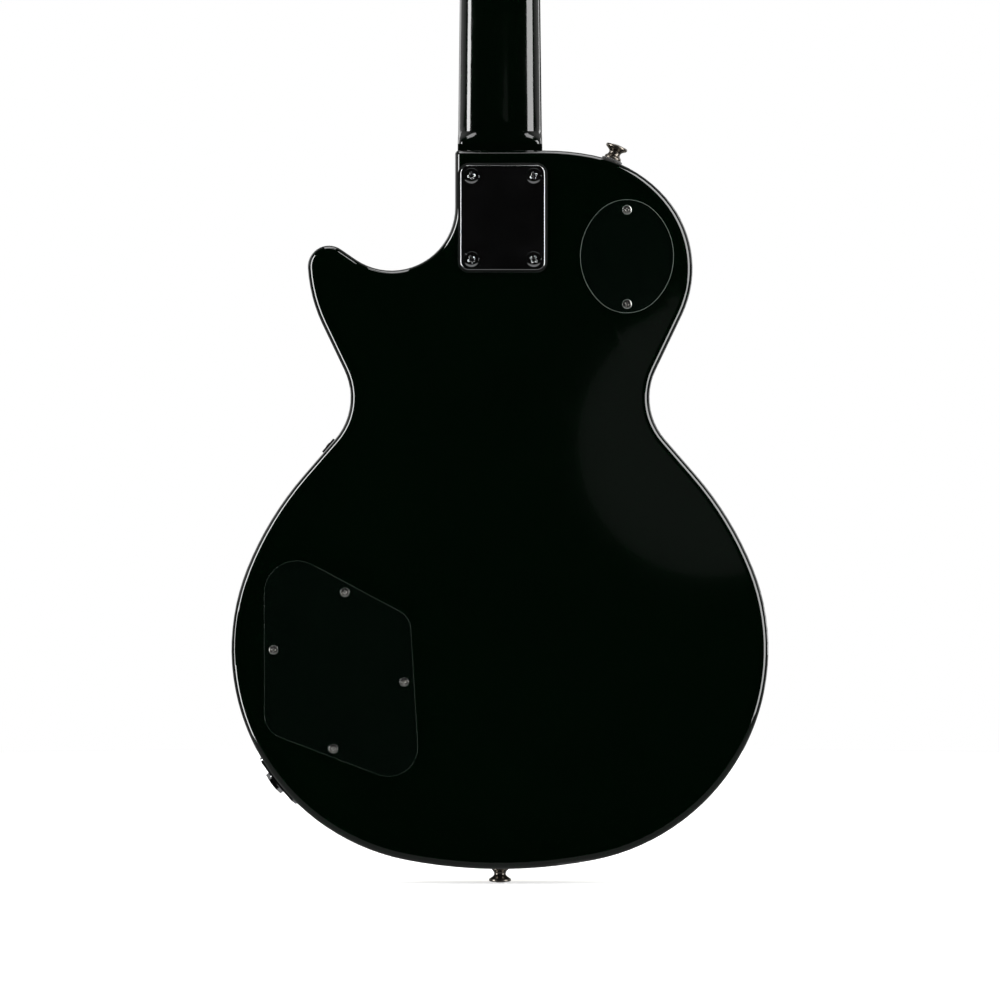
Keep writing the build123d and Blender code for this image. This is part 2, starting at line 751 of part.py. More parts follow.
def inner_outline():
    """The outline inside the binding."""
    return offset(body_outline(), -BINDING_THICK)


def make_top_binding():
    """The binding around the rim of the front, open at the neck."""
    strip = slab(body_outline(), RIM_TOP - BINDING_TALL, RIM_TOP)
    strip = fillet(strip.faces().sort_by(Axis.Z)[-1].outer_wire().edges(), BINDING_ROUND)
    strip -= slab(inner_outline(), RIM_TOP - BINDING_TALL, RIM_TOP)
    return strip - neck_pocket()


# ------------------------------------------------------------------------------------------ neck
def neck_section(y, depth, roundness):
    """A half superellipse under the fretboard, standing across the neck."""
    half = half_width(y)
    power = 2 / roundness
    points = []
    for i in range(17):
        angle = math.pi * i / 16
        c = math.cos(angle)
        s = math.sin(angle)
        points.append((half * math.copysign(abs(c) ** power, c), -depth * s ** power))
    curve = Spline(*points, tangents=[(0, -1), (0, 1)])
    face = make_face(curve + Line(points[-1], points[0]))
    return Plane(origin=(0, y, 0), x_dir=(1, 0, 0), z_dir=(0, -1, 0)) * face


def blended_sections(start, end, count):
    """Sections that pass smoothly from one (y, depth, roundness) to another."""
    sections = []
    for i in range(count):
        share = i / (count - 1)
        smooth = share * share * (3 - 2 * share)
        y = start[0] + (end[0] - start[0]) * share
        depth = start[1] + (end[1] - start[1]) * smooth
        roundness = start[2] + (end[2] - start[2]) * smooth
        sections.append(neck_section(y, depth, roundness))
    return sections


def head_outline():
    """A plain flared headstock with a flat crown, three tuners to a side."""
    shoulder_x, shoulder_y = HEAD_SHOULDER
    tip_x, tip_y = HEAD_TIP
    half = NUT_WIDTH / 2
    right = ((half, 0), (half + 1, 6), (shoulder_x, shoulder_y), (tip_x, tip_y))
    left = tuple((-x, y) for x, y in reversed(right))
    crown = ThreePointArc((tip_x, tip_y), (0, HEAD_LENGTH), (-tip_x, tip_y))
    shape = make_face(Polyline(*right) + crown + Polyline(*left, right[0]))
    for x in (shoulder_x, -shoulder_x):
        shape = fillet(shape.vertices().sort_by_distance(Vector(x, shoulder_y))[0], HEAD_FLARE_RADIUS)
    for x in (tip_x, -tip_x):
        shape = fillet(shape.vertices().sort_by_distance(Vector(x, tip_y))[0], HEAD_CORNER)
    return shape


def tuner_spots():
    """The six string posts on the headstock, lowest string first."""
    bass = [(-TUNER_X, TUNER_FIRST + TUNER_PITCH * i) for i in range(3)]
    treble = [(TUNER_X, TUNER_FIRST + TUNER_PITCH * i) for i in (2, 1, 0)]
    return bass + treble


def make_neck():
    """The neck: heel block, shaft and headstock in one piece of wood."""
    shaft_start = (HEEL_REACH + HEEL_SHOULDER, NECK_DEPTH_JOINT, NECK_ROUNDNESS)
    shaft_end = (HEAD_START - HEAD_BLEND, NECK_DEPTH_NUT, NECK_ROUNDNESS)
    neck = slab(heel_plan(0), -HEEL_DEPTH, 0)
    neck += loft(blended_sections((HEEL_REACH, HEEL_DEPTH, BLOCK_ROUNDNESS), shaft_start, 5))
    neck += loft([neck_section(*shaft_start), neck_section(*shaft_end)], ruled=True)
    neck += loft(blended_sections(shaft_end, (HEAD_START, HEAD_THICK, BLOCK_ROUNDNESS), 4))
    head = HEAD_ON_NECK
    neck += head * slab(head_outline(), -HEAD_THICK, 0)
    neck -= head * Pos(0, ROD_POCKET_LONG / 2, 0) * slab(
        Rectangle(ROD_POCKET_WIDE, ROD_POCKET_LONG + 8), -ROD_POCKET_DEEP, 5)
    neck -= [head * Pos(x, y, 0) * rod(BUSHING_RADIUS + SCREW_FIT, -HEAD_THICK - 1, 1) for x, y in tuner_spots()]
    neck -= rod_channel()
    for x, y in ROD_COVER_SCREWS:
        neck -= head * Pos(x, y, ROD_COVER[2]) * screw_hole(TRIM_SCREW)
    for x, y in tuner_spots():
        neck -= head * Pos(x, y + ear_offset(), -HEAD_THICK - EAR_THICK) * FACING_BACK * screw_hole(TRIM_SCREW)
    return NECK * neck - neck_screw_cuts()


def rod_channel():
    """The channel of the truss rod, from under the fretboard to the headstock."""
    length = HEAD_START + ROD_POCKET_LONG / 2 - ROD_START
    wide = 2 * (ROD_RADIUS + ROD_GAP)
    deep = ROD_LOW + ROD_RADIUS
    return Pos(0, ROD_START + length / 2, 0) * slab(Rectangle(wide, length), -deep, 1)


def make_truss_rod():
    """The truss rod with its nut at the headstock."""
    nut_low = HEAD_START + 3
    along = Location((0, 0, -ROD_LOW), (-90, 0, 0))
    body = along * rod(ROD_RADIUS, ROD_START, nut_low + ROD_NUT_LENGTH)
    nut = along * slab(RegularPolygon(ROD_NUT_RADIUS, 6) - Circle(ROD_RADIUS), nut_low, nut_low + ROD_NUT_LENGTH)
    return NECK * body, NECK * nut


def make_truss_rod_cover():
    """The plain cover over the truss rod nut."""
    width, length, thick = ROD_COVER
    plan = rounded_polygon(((-width / 2, 0, 2.0), (width / 2, 0, 2.0), (width / 4, length, 4.0),
                            (-width / 4, length, 4.0)))
    cover = Pos(0, 1, 0) * slab(plan, 0, thick)
    return HEAD * (cover - [Pos(x, y, thick) * screw_hole(TRIM_SCREW) for x, y in ROD_COVER_SCREWS])


def board_blank():
    """The radiused fretboard before slots and inlays, in the neck frame."""
    wide = half_width(BOARD_END)
    narrow = half_width(JOINT_TO_NUT)
    plan = make_face(Polyline((-wide, BOARD_END), (wide, BOARD_END), (narrow, JOINT_TO_NUT),
                              (-narrow, JOINT_TO_NUT), close=True))
    barrel = Location((0, 0, BOARD_THICK - BOARD_RADIUS), (-90, 0, 0)) * rod(BOARD_RADIUS, -SCALE_LENGTH, SCALE_LENGTH)
    return slab(plan, 0, BOARD_THICK) & barrel


def fret_spots():
    """Each fret's number and its place from the joint."""
    return [(number, JOINT_TO_NUT - fret_distance(number)) for number in range(1, FRET_COUNT + 1)]


def swept_over_board(section, half):
    """A section in (Y, height over the crown), carried across the radius of the fretboard."""
    axis = Axis((0, 0, BOARD_THICK - BOARD_RADIUS), (0, 1, 0))
    swing = math.degrees(math.asin(half / BOARD_RADIUS))
    raised = Pos(0, 0, BOARD_THICK) * (Plane.YZ * section)
    return revolve(raised.rotate(axis, -swing), axis, revolution_arc=2 * swing)


def fret_wire(y, half):
    """One fret: a round crown on a thin tang."""
    crown = ThreePointArc((-FRET_WIDE / 2, 0), (0, FRET_TALL), (FRET_WIDE / 2, 0))
    base = Polyline((FRET_WIDE / 2, 0), (TANG_WIDE / 2, 0), (TANG_WIDE / 2, -TANG_DEEP),
                    (-TANG_WIDE / 2, -TANG_DEEP), (-TANG_WIDE / 2, 0), (-FRET_WIDE / 2, 0))
    return Pos(0, y, 0) * swept_over_board(make_face(crown + base), half)


def fret_slot(y, half):
    """The slot that a tang is pressed into."""
    tang = Pos(0, -TANG_DEEP / 2) * Rectangle(TANG_WIDE, TANG_DEEP)
    return Pos(0, y, 0) * swept_over_board(tang, half)


def marker_spots():
    """The position markers, half way between frets."""
    spots = []
    for number in MARKED_FRETS + (OCTAVE_FRET,):
        y = JOINT_TO_NUT - (fret_distance(number - 1) + fret_distance(number)) / 2
        if number == OCTAVE_FRET:
            spots += [(-OCTAVE_SPREAD, y), (OCTAVE_SPREAD, y)]
        else:
            spots.append((0, y))
    return spots


def make_fretboard_set():
    """The fretboard, its frets and its markers."""
    blank = board_blank()
    discs = place_all(rod(MARKER_RADIUS, BOARD_THICK - MARKER_DEEP, BOARD_THICK + 1), marker_spots())
    markers = [blank & disc for disc in discs]
    frets = []
    board = blank - discs
    for _, y in fret_spots():
        half = half_width(y) - FRET_INSET
        frets.append(fret_wire(y, half))
        board -= fret_slot(y, half)
    return NECK * board, [NECK * fret for fret in frets], [NECK * marker for marker in markers]


def string_grooves(number, gauge, bend):
    """The grooves of one string on both sides of a bend of its path."""
    points = string_path(number, gauge)
    grooves = []
    for other in (bend - 1, bend + 1):
        along = (points[other] - points[bend]).normalized() * GROOVE_LONG
        grooves.append(string_groove(points[bend], points[bend] + along, gauge / 2 + STRING_FIT))
    return grooves


def make_nut():
    """The nut with its six string slots."""
    middle = JOINT_TO_NUT + NUT_THICK / 2
    nut = NECK * Pos(0, middle, 0) * slab(Rectangle(NUT_WIDTH, NUT_THICK), 0, STRING_AT_NUT + NUT_ABOVE_STRING)
    for number, gauge in enumerate(STRING_GAUGES):
        nut -= string_grooves(number, gauge, NUT_BEND)
    return nut


# ---------------------------------------------------------------------------------------- tuners
def ear_offset():
    """How far the screw ear of a tuner housing lies from its post."""
    return HOUSING_TOP_MARGIN + HOUSING_EAR - 0.8


def worm_y():
    """How far below its post a worm lies."""
    return -(GEAR_RADIUS + WORM_RADIUS + WORM_GAP)


def tuner_housing():
    """The cast housing of a right-hand tuner, on the back of the headstock, open against the wood."""
    wide, long, deep = HOUSING
    middle = HOUSING_TOP_MARGIN - long / 2
    low = -HEAD_THICK - deep
    outer = Pos(0, middle, low + deep / 2) * Box(wide, long, deep)
    outer = fillet(outer.edges().filter_by(Axis.Z) + outer.faces().sort_by(Axis.Z)[0].edges(), 2.5)
    outer += Pos(0, ear_offset(), 0) * rod(HOUSING_EAR, -HEAD_THICK - EAR_THICK, -HEAD_THICK)
    inside = (wide - 2 * HOUSING_WALL, long - 2 * HOUSING_WALL, deep - HOUSING_WALL)
    outer -= Pos(0, middle, -HEAD_THICK - inside[2] / 2) * Box(*inside)
    outer -= key_axis() * rod(KEY_SHAFT_RADIUS + RUNNING_GAP, 0, wide)
    return outer - Pos(0, ear_offset(), -HEAD_THICK - EAR_THICK) * FACING_BACK * screw_hole(TRIM_SCREW)


def key_axis():
    """The frame of a right-hand key: on the worm, with Z out to the side."""
    return Location((0, worm_y(), -HEAD_THICK - KEY_LOW), (0, 90, 0))


def head_half_width(y):
    """Half the width of the headstock between its shoulder and its tip."""
    (x0, y0), (x1, y1) = HEAD_SHOULDER, HEAD_TIP
    return x0 + (x1 - x0) * (y - y0) / (y1 - y0)


def tuner_key(y):
    """The worm, shaft and button of a right-hand tuner."""
    reach = head_half_width(y) - TUNER_X + KEY_CLEAR_EDGE
    worm_half = WORM_LENGTH / 2
    worm = rod(WORM_RADIUS, -worm_half, worm_half)
    for i in range(5):
        worm -= ring(WORM_RADIUS + 1, WORM_RADIUS - 0.7, -4.6 + 2 * i, -3.6 + 2 * i)
    shaft = rod(KEY_SHAFT_RADIUS, 0, reach + 4)
    collar = rod(KEY_SHAFT_RADIUS + 1.2, reach - 2, reach)
    wide, thick, tall = KEY_BUTTON
    plan = Pos(0, reach + tall / 2) * Ellipse(wide / 2, tall / 2 + 1)
    button = Rot(90, 0, 0) * slab(plan, -thick / 2, thick / 2)
    button = fillet(button.edges(), thick * 0.3)
    return key_axis() * (worm + shaft + collar + button)


def string_post():
    """A string post with its worm gear."""
    gear_low = -HEAD_THICK - KEY_LOW - GEAR_THICK / 2
    post = turned((0, gear_low - 0.8), (POST_WAIST, gear_low - 0.8), (POST_WAIST, gear_low),
                  (GEAR_RADIUS, gear_low), (GEAR_RADIUS, gear_low + GEAR_THICK),
                  (POST_RADIUS, gear_low + GEAR_THICK), (POST_RADIUS, WAIST_LOW), (POST_WAIST, WAIST_LOW + 0.6),
                  (POST_WAIST, WAIST_HIGH), (POST_RADIUS, WAIST_HIGH + 0.6), (POST_RADIUS, POST_TALL - 0.6),
                  (POST_RADIUS - 0.6, POST_TALL), (0, POST_TALL))
    notch = Box(1.2, 0.9, GEAR_THICK + 1)
    for i in range(GEAR_TEETH):
        post -= Rot(0, 0, 360 * i / GEAR_TEETH) * Pos(GEAR_RADIUS, 0, gear_low + GEAR_THICK / 2) * notch
    return post


def string_wraps(gauge):
    """The turns of a string around its post."""
    major = POST_WAIST + gauge / 2
    middle = (WRAP_TURNS - 1) / 2
    return [Pos(0, 0, WRAP_HEIGHT + (i - middle) * gauge) * Torus(major, gauge / 2) for i in range(WRAP_TURNS)]


def tuner_bushing():
    """The threaded bushing of a post, with its hexagon head on the front."""
    bore = POST_RADIUS + RUNNING_GAP
    sleeve = ring(BUSHING_RADIUS, bore, -HEAD_THICK, 0)
    washer = ring(BUSHING_NUT / 2 + 1.4, bore, 0, 0.6)
    return sleeve + washer + hex_nut(BUSHING_NUT, bore, 0.6, BUSHING_NUT_TALL)


def sided(x, piece):
    """A right-hand tuner piece, mirrored for the bass side."""
    return piece if x > 0 else mirror(piece, about=Plane.YZ)


# --------------------------------------------------------------------------------------- strings
def string_path(number, gauge):
    """The bench points of a string: tailpiece, bridge, nut and the start of its turns."""
    x_post, y_post = tuner_spots()[number]
    x_nut = string_x(number, JOINT_TO_NUT)
    x_bridge = string_x(number, BRIDGE_LOCAL)
    major = POST_WAIST + gauge / 2
    inner = x_post - math.copysign(major, x_post)
    stop = math.sqrt((major + gauge + WORM_GAP) ** 2 - major ** 2)
    saddle = bench_point(NECK, x_bridge, BRIDGE_LOCAL, STRING_AT_BRIDGE)
    nut = bench_point(NECK, x_nut, JOINT_TO_NUT + NUT_THICK / 3, STRING_AT_NUT)
    post = bench_point(HEAD, inner, y_post - stop, WRAP_HEIGHT)
    tail = Vector(saddle.X, TAIL_Y - TAIL_BAR[1] / 2 + BALL_LENGTH, TAIL_STRING_Z)
    return [tail, saddle, nut, post]


TAIL_Y = BRIDGE_Y - TAIL_BEHIND
TAIL_LOW = PLATEAU + TAIL_LIFT
TAIL_STRING_Z = TAIL_LOW + TAIL_BAR[2] / 2
SADDLE_TOP = bench_point(NECK, 0, BRIDGE_LOCAL, STRING_AT_BRIDGE).Z
BRIDGE_TOP = SADDLE_TOP - BRIDGE_BELOW_STRING
BRIDGE_LOW = BRIDGE_TOP - BRIDGE[2]
BRIDGE_PLACE = Pos(0, BRIDGE_Y, BRIDGE_LOW)
SADDLE_BEND = 1
NUT_BEND = 2


def make_string(number, gauge):
    """A string from its ball end to the last straight before its post."""
    points = string_path(number, gauge)
    path = FilletPolyline(*points, radius=STRING_BEND)
    wire = sweep(Plane(path @ 0, z_dir=path % 0) * Circle(gauge / 2), path=path)
    ball = Pos(points[0].X, points[0].Y, points[0].Z) * Rot(-90, 0, 0) * rod(BALL_RADIUS, -BALL_LENGTH, 0)
    return [wire, ball]


# ---------------------------------------------------------------------------- bridge and tailpiece
def saddle_spots():
    """Each saddle's place along and across the bridge."""
    return [(string_x(number, BRIDGE_LOCAL), shift) for number, shift in enumerate(INTONATION)]


def make_bridge():
    """The bridge bar with its saddle channel, on two studs."""
    length, wide, tall = BRIDGE
    bar = slab(SlotOverall(length, wide), 0, tall)
    bar -= Pos(0, 0, tall - BRIDGE_CHANNEL[2] / 2) * Box(*BRIDGE_CHANNEL)
    bar -= [Pos(side * BRIDGE_STUD_SPAN / 2, 0, 0) * rod(BRIDGE_STUD + RUNNING_GAP, 0, tall) for side in (-1, 1)]
    for x, _ in saddle_spots():
        bar -= saddle_screw_place(x) * rod(SADDLE_SCREW + SCREW_FIT, -wide, wide)
    return BRIDGE_PLACE * bar


def saddle_screw_place(x):
    """The frame of a saddle screw in the bridge: Z towards the neck."""
    return Location((x, 0, BRIDGE[2] - SADDLE_SCREW_LOW), (-90, 0, 0))


def make_saddles():
    """The six saddles and their screws."""
    floor = BRIDGE[2] - BRIDGE_CHANNEL[2]
    crest = SADDLE_TOP - BRIDGE_LOW
    wide, long = SADDLE
    pieces = []
    for number, (x, shift) in enumerate(saddle_spots()):
        gauge = STRING_GAUGES[number]
        profile = make_face(Polyline((-long / 2, floor), (long / 2, floor), (long / 2, crest - 3), (0.8, crest),
                                     (-0.8, crest), (-long / 2, crest - 3), close=True))
        block = Plane.YZ * profile
        block = Pos(-wide / 2, 0, 0) * extrude(block, wide)
        block = Pos(x, shift, 0) * block
        block -= saddle_screw_place(x) * rod(SADDLE_SCREW + SCREW_FIT, -long, long)
        pieces.append(BRIDGE_PLACE * block - string_grooves(number, gauge, SADDLE_BEND))
        shank = rod(SADDLE_SCREW, -BRIDGE[1] / 2 + 0.4, BRIDGE[1] / 2)
        head = rod(SADDLE_SCREW_HEAD[0], 0, SADDLE_SCREW_HEAD[1])
        pieces.append(BRIDGE_PLACE * saddle_screw_place(x) * (shank + Pos(0, 0, BRIDGE[1] / 2) * head))
    return pieces


def make_bridge_studs():
    """The two bridge studs with their thumbwheels under the bar."""
    wheel, thick = THUMBWHEEL
    stud = rod(BRIDGE_STUD, PLATEAU - STUD_DEEP, BRIDGE_TOP + 0.8) + rod(wheel, BRIDGE_LOW - thick, BRIDGE_LOW)
    return place_all(stud, [(side * BRIDGE_STUD_SPAN / 2, BRIDGE_Y) for side in (-1, 1)])


def make_tailpiece():
    """The stop tailpiece with its lugs slotted towards the bridge."""
    length, wide, tall = TAIL_BAR
    section = fillet((Rectangle(wide, tall)).vertices(), tall * 0.4)
    bar = Pos(-length / 2 + 9, 0, tall / 2) * extrude(Plane.YZ * section, length - 18)
    lug_low = (tall - TAIL_LUG) / 2
    bar += slab(SlotOverall(TAIL_STUD_SPAN + wide, wide), lug_low, lug_low + TAIL_LUG)
    for side in (-1, 1):
        slot = rod(TAIL_STUD + RUNNING_GAP, 0, tall)
        slot += Pos(0, wide / 2, tall / 2) * Box(2 * (TAIL_STUD + RUNNING_GAP), wide, tall)
        bar -= Pos(side * TAIL_STUD_SPAN / 2, 0, 0) * slot
    bar = Pos(0, TAIL_Y, TAIL_LOW) * bar
    for number, gauge in enumerate(STRING_GAUGES):
        tail, saddle = string_path(number, gauge)[:2]
        bar -= directed(tail, tail + (saddle - tail).normalized() * 2 * wide, TAIL_HOLE)
        bar -= Pos(*tail) * Rot(-90, 0, 0) * rod(BALL_RADIUS + SCREW_FIT, -wide, 0)
    return bar


def make_tail_studs():
    """The two tailpiece studs: thread, flange, neck and slotted head."""
    head, thick = TAIL_STUD_HEAD
    low = TAIL_LOW + (TAIL_BAR[2] - TAIL_LUG) / 2
    top = low + TAIL_LUG
    stud = rod(TAIL_STUD, PLATEAU - STUD_DEEP, top) + rod(head, low - 1.6, low) + rod(head, top, top + thick)
    stud -= Pos(0, 0, top + thick) * Box(2 * head, 1.6, 2.4)
    return place_all(stud, [(side * TAIL_STUD_SPAN / 2, TAIL_Y) for side in (-1, 1)])


# --------------------------------------------------------------------------------------- pickups
def ring_top_over(y):
    """The bench height of a pickup ring's top over its middle."""
    return pickup_frame(y).position.Z - RING_BELOW_TOP


def ring_tops():
    """Both pickups' places with the heights of their ring tops."""
    return [(y, ring_top_over(y)) for y in (NECK_PICKUP_Y, BRIDGE_PICKUP_Y)]


def ring_slope(y, along):
    """The height of a ring's sloped top at a distance from its middle."""
    return ring_top_over(y) - along * math.tan(TILT)


def ring_screw(top):
    """A ring screw, long enough to reach the wood through its ring."""
    return TRIM_SCREW[0], TRIM_SCREW[1], TRIM_SCREW[2] + top - PLATEAU


def make_pickup_ring(y, top):
    """The sloped frame around one pickup."""
    blank = Pos(0, y, 0) * slab(fillet(Rectangle(*RING).vertices(), 4) - Rectangle(*RING_OPENING),
                                PLATEAU, PLATEAU + RIM_DEPTH)
    slope = pickup_frame(y) * Pos(0, 0, -RING_BELOW_TOP) * slab(Rectangle(200, 200), 0, RIM_DEPTH)
    blank -= slope
    frame = pickup_frame(y)
    for side in (-1, 1):
        blank -= frame * Pos(side * PICKUP_SCREW_X, 0, -RING_BELOW_TOP) * screw_hole(HEIGHT_SCREW)
    blank -= [Pos(x, y + dy, ring_slope(y, dy)) * screw_hole(ring_screw(top)) for x, dy in grid(*RING_SCREWS)]
    return blank


def pole_spots(local):
    """The adjustable poles of a pickup, under the strings."""
    return [(string_x(number, local), POLE_OFFSET) for number in range(6)]


def make_pickup(y):
    """The cover and the base of one pickup, in its own frame and then on the bench."""
    frame = pickup_frame(y)
    long, wide, tall = PICKUP
    local = (y - JOINT_Y) / math.cos(TILT)
    shell = Pos(0, 0, -tall / 2) * Box(long, wide, tall)
    shell = fillet(shell.edges().filter_by(Axis.Z), PICKUP_CORNER)
    shell = fillet(shell.faces().sort_by(Axis.Z)[-1].edges(), PICKUP_CORNER / 2)
    wall = 2 * PICKUP_WALL
    shell -= Pos(0, 0, -tall / 2 - PICKUP_WALL) * Box(long - wall, wide - wall, tall)
    shell -= place_all(rod(POLE_RADIUS + RUNNING_GAP, -2 * PICKUP_WALL, 1), pole_spots(local))
    plate_wide = (long - wall - 0.4, wide - wall - 0.4)
    plate_low = -tall
    plate = slab(Rectangle(*plate_wide), plate_low, plate_low + 1.4)
    leg_low = plate_low - PICKUP_LEG_DROP
    legs = slab(Rectangle(PICKUP_LEG[0], PICKUP_LEG[1]) - Rectangle(PICKUP[0] - 8, PICKUP_LEG[1] + 1), leg_low,
                leg_low + PICKUP_LEG[2])
    for side in (-1, 1):
        legs += Pos(side * (PICKUP[0] / 2 - 3.3), 0, (leg_low + plate_low + 1) / 2) * Box(
            1.4, PICKUP_LEG[1], PICKUP_LEG_DROP + 1)
    plate += legs
    plate -= [Pos(side * PICKUP_SCREW_X, 0, 0) * rod(HEIGHT_SCREW[1] / 2 + 2 * RUNNING_GAP, -60, 0)
              for side in (-1, 1)]
    bobbin = Box(long - 4, wide / 2 - 2, tall - 4)
    coils = [Pos(0, side * (wide / 4 - 0.4), -tall + 1.4 + (tall - 4) / 2) * bobbin for side in (-1, 1)]
    coils[1] -= place_all(rod(POLE_RADIUS - 0.8 + SCREW_FIT, -tall, 1), pole_spots(local))
    pole = rod(POLE_RADIUS, -1.4, POLE_PROUD) + rod(POLE_RADIUS - 0.8, -tall + 1.5, -1.4)
    pole -= Pos(0, 0, POLE_PROUD) * Box(2 * POLE_RADIUS, 0.7, 1.0)
    poles = place_all(pole, pole_spots(local))
    return frame * shell, [frame * piece for piece in [plate] + coils + poles]


def make_height_screws():
    """The height screws of both pickups."""
    pieces = []
    for y, _ in ring_tops():
        frame = pickup_frame(y)
        for side in (-1, 1):
            pieces.append(frame * Pos(side * PICKUP_SCREW_X, 0, -RING_BELOW_TOP) * screw(HEIGHT_SCREW))
    return pieces


# ---------------------------------------------------------------------------------- pickguard
def bracket_screw_place():
    """The frame of the screw that holds the pickguard to its bracket."""
    inward = BRACKET_PLACE.z_dir * -BRACKET_SCREW_IN
    return Location((BRACKET_PLACE.origin.X + inward.X, BRACKET_PLACE.origin.Y + inward.Y, GUARD_UNDER + GUARD_THICK))


def make_pickguard():
    """The raised pickguard beside the pickups."""
    guard = slab(rounded_polygon(GUARD_CORNERS), GUARD_UNDER, GUARD_UNDER + GUARD_THICK)
    guard = fillet(guard.faces().sort_by(Axis.Z)[-1].edges(), 0.6)
    guard -= bracket_screw_place() * screw_hole(TRIM_SCREW)
    return guard - Pos(*STANDOFF_AT, GUARD_UNDER + GUARD_THICK) * screw_hole(TRIM_SCREW)


def standoff_seat():
    """The bottom of the standoff, sunk a little below the arched top."""
    samples = rim_samples()
    return RIM_TOP + arch_height(*STANDOFF_AT, True, samples) - STANDOFF_SINK


def make_bracket():
    """The bent side bracket and the standoff of the pickguard."""
    wide, thick, reach = BRACKET
    foot = Pos(0, (BRACKET_LOW + GUARD_UNDER) / 2, thick / 2) * Box(wide, GUARD_UNDER - BRACKET_LOW, thick)
    arm = Pos(0, GUARD_UNDER - thick / 2, (thick - reach) / 2) * Box(wide, thick, reach + thick)
    piece = BRACKET_PLACE * (foot + arm)
    piece -= bracket_screw_place() * screw_hole(TRIM_SCREW)
    piece -= BRACKET_SIDE_SCREW * screw_hole(TRIM_SCREW)
    post = Pos(*STANDOFF_AT) * rod(STANDOFF, standoff_seat(), GUARD_UNDER)
    post -= Pos(*STANDOFF_AT, GUARD_UNDER + GUARD_THICK) * screw_hole(TRIM_SCREW)
    return piece, post


# ------------------------------------------------------------------------------- plates and covers
def make_neck_plate_set():
    """The neck plate, its cushion and its screws."""
    at = Pos(PLATE_X, PLATE_Y, 0)
    grown = [size + 2 * CUSHION_MARGIN for size in PLATE[:2]]
    cushion = at * slab(fillet(Rectangle(*grown).vertices(), PLATE_CORNER + CUSHION_MARGIN),
                        BACK - CUSHION_THICK, BACK)
    plate = at * slab(fillet(Rectangle(*PLATE[:2]).vertices(), PLATE_CORNER), PLATE_FACE, BACK - CUSHION_THICK)
    plate = fillet(plate.faces().sort_by(Axis.Z)[0].outer_wire().edges(), 0.5)
    screws = place_all(FACING_BACK * screw(NECK_SCREW), neck_screw_spots(), PLATE_FACE)
    return plate - neck_screw_cuts(), cushion - neck_screw_cuts(), screws


def make_cover(plan, spots):
    """A flush back cover."""
    cover = slab(plan, BACK, BACK + COVER_THICK)
    return cover - place_all(FACING_BACK * screw_hole(COVER_SCREW), spots, BACK)


def make_strap_button(place, lift):
    """A strap button on its seat."""
    flare = BUTTON_TALL - 1.6
    button = turned((BUTTON_SCREW[1] / 2 + SCREW_FIT, 0), (BUTTON_BASE, 0), (BUTTON_BASE, 1.4), (BUTTON_NECK, 3.0),
                    (BUTTON_NECK, 5.2), (BUTTON_FLARE - 0.5, flare), (BUTTON_FLARE, flare + 0.5),
                    (BUTTON_FLARE, BUTTON_TALL - 0.5), (BUTTON_FLARE - 0.5, BUTTON_TALL),
                    (BUTTON_SCREW[1] / 2 + SCREW_FIT, BUTTON_TALL))
    button -= Pos(0, 0, BUTTON_TALL) * screw_hole(BUTTON_SCREW)
    return place * Pos(0, 0, lift) * button


def make_jack_plate():
    """The square plate of the output jack, curved with the rim."""
    along, tall, thick = JACK_PLATE
    radius = LOWER_STEPS[LOWER_BOUT][0]
    plate = Pos(0, 0, -radius) * Rot(90, 0, 0) * ring(radius + thick, radius, -tall / 2, tall / 2)
    plate &= slab(fillet(Rectangle(along, tall).vertices(), JACK_PLATE_CORNER), -radius / 4, 2 * thick)
    plate -= rod(JACK_BUSHING + SCREW_FIT, -thick, 2 * thick)
    plate -= place_all(screw_hole(TRIM_SCREW), jack_screw_spots(), JACK_SCREW_SEAT)
    return JACK_PLACE * plate


def make_output_jack():
    """The barrel jack: a threaded bushing outside and a barrel in the wood."""
    jack = turned((0, -JACK_SHOULDER - JACK_BARREL_LENGTH), (JACK_BARREL, -JACK_SHOULDER - JACK_BARREL_LENGTH),
                  (JACK_BARREL, -JACK_SHOULDER), (JACK_BUSHING, -JACK_SHOULDER), (JACK_BUSHING, JACK_PROUD),
                  (JACK_BORE, JACK_PROUD), (JACK_BORE, JACK_PROUD - JACK_BORE_DEEP),
                  (0, JACK_PROUD - JACK_BORE_DEEP))
    return JACK_PLACE * jack


# ---------------------------------------------------------------------------------------- controls
def nut_and_washer(bore, low):
    """A washer and a hexagon nut, one on the other."""
    washer, thick = WASHER
    across, tall = PANEL_NUT
    return [ring(washer, bore + NUT_THREAD_GAP, low, low + thick),
            hex_nut(across, bore + NUT_THREAD_GAP, low + thick, low + thick + tall)]


def make_panel_nuts():
    """The nuts and washers of the pots, the switch and the output jack."""
    pieces = []
    for x, y in POTS:
        pieces += [Pos(x, y, 0) * piece for piece in nut_and_washer(POT_BUSHING, SEAT_LOW)]
    pieces += [JACK_PLACE * piece for piece in nut_and_washer(JACK_BUSHING, JACK_PLATE[2])]
    low = SEAT_LOW + SWITCH_RING[1]
    across = PANEL_NUT[0] + 2 * (SWITCH_BUSHING - POT_BUSHING)
    pieces.append(Pos(*SWITCH_AT) * hex_nut(across, SWITCH_BUSHING + NUT_THREAD_GAP, low, low + PANEL_NUT[1]))
    return pieces


def make_potentiometers():
    """The four pots: can, terminal board and threaded bushing, bored for the shaft."""
    top = PANEL_UNDER
    shaft_end = top - POT_TALL + 1
    pot = rod(POT_RADIUS, top - POT_TALL, top) + rod(POT_BUSHING, top, PLATEAU + POT_BUSHING_PROUD)
    pot += Pos(0, -POT_RADIUS + 1, top - POT_TALL - 1) * Box(12, 6, 2)
    pot -= rod(POT_SHAFT + RUNNING_GAP, shaft_end, PLATEAU + RIM_DEPTH)
    return place_all(pot, POTS)


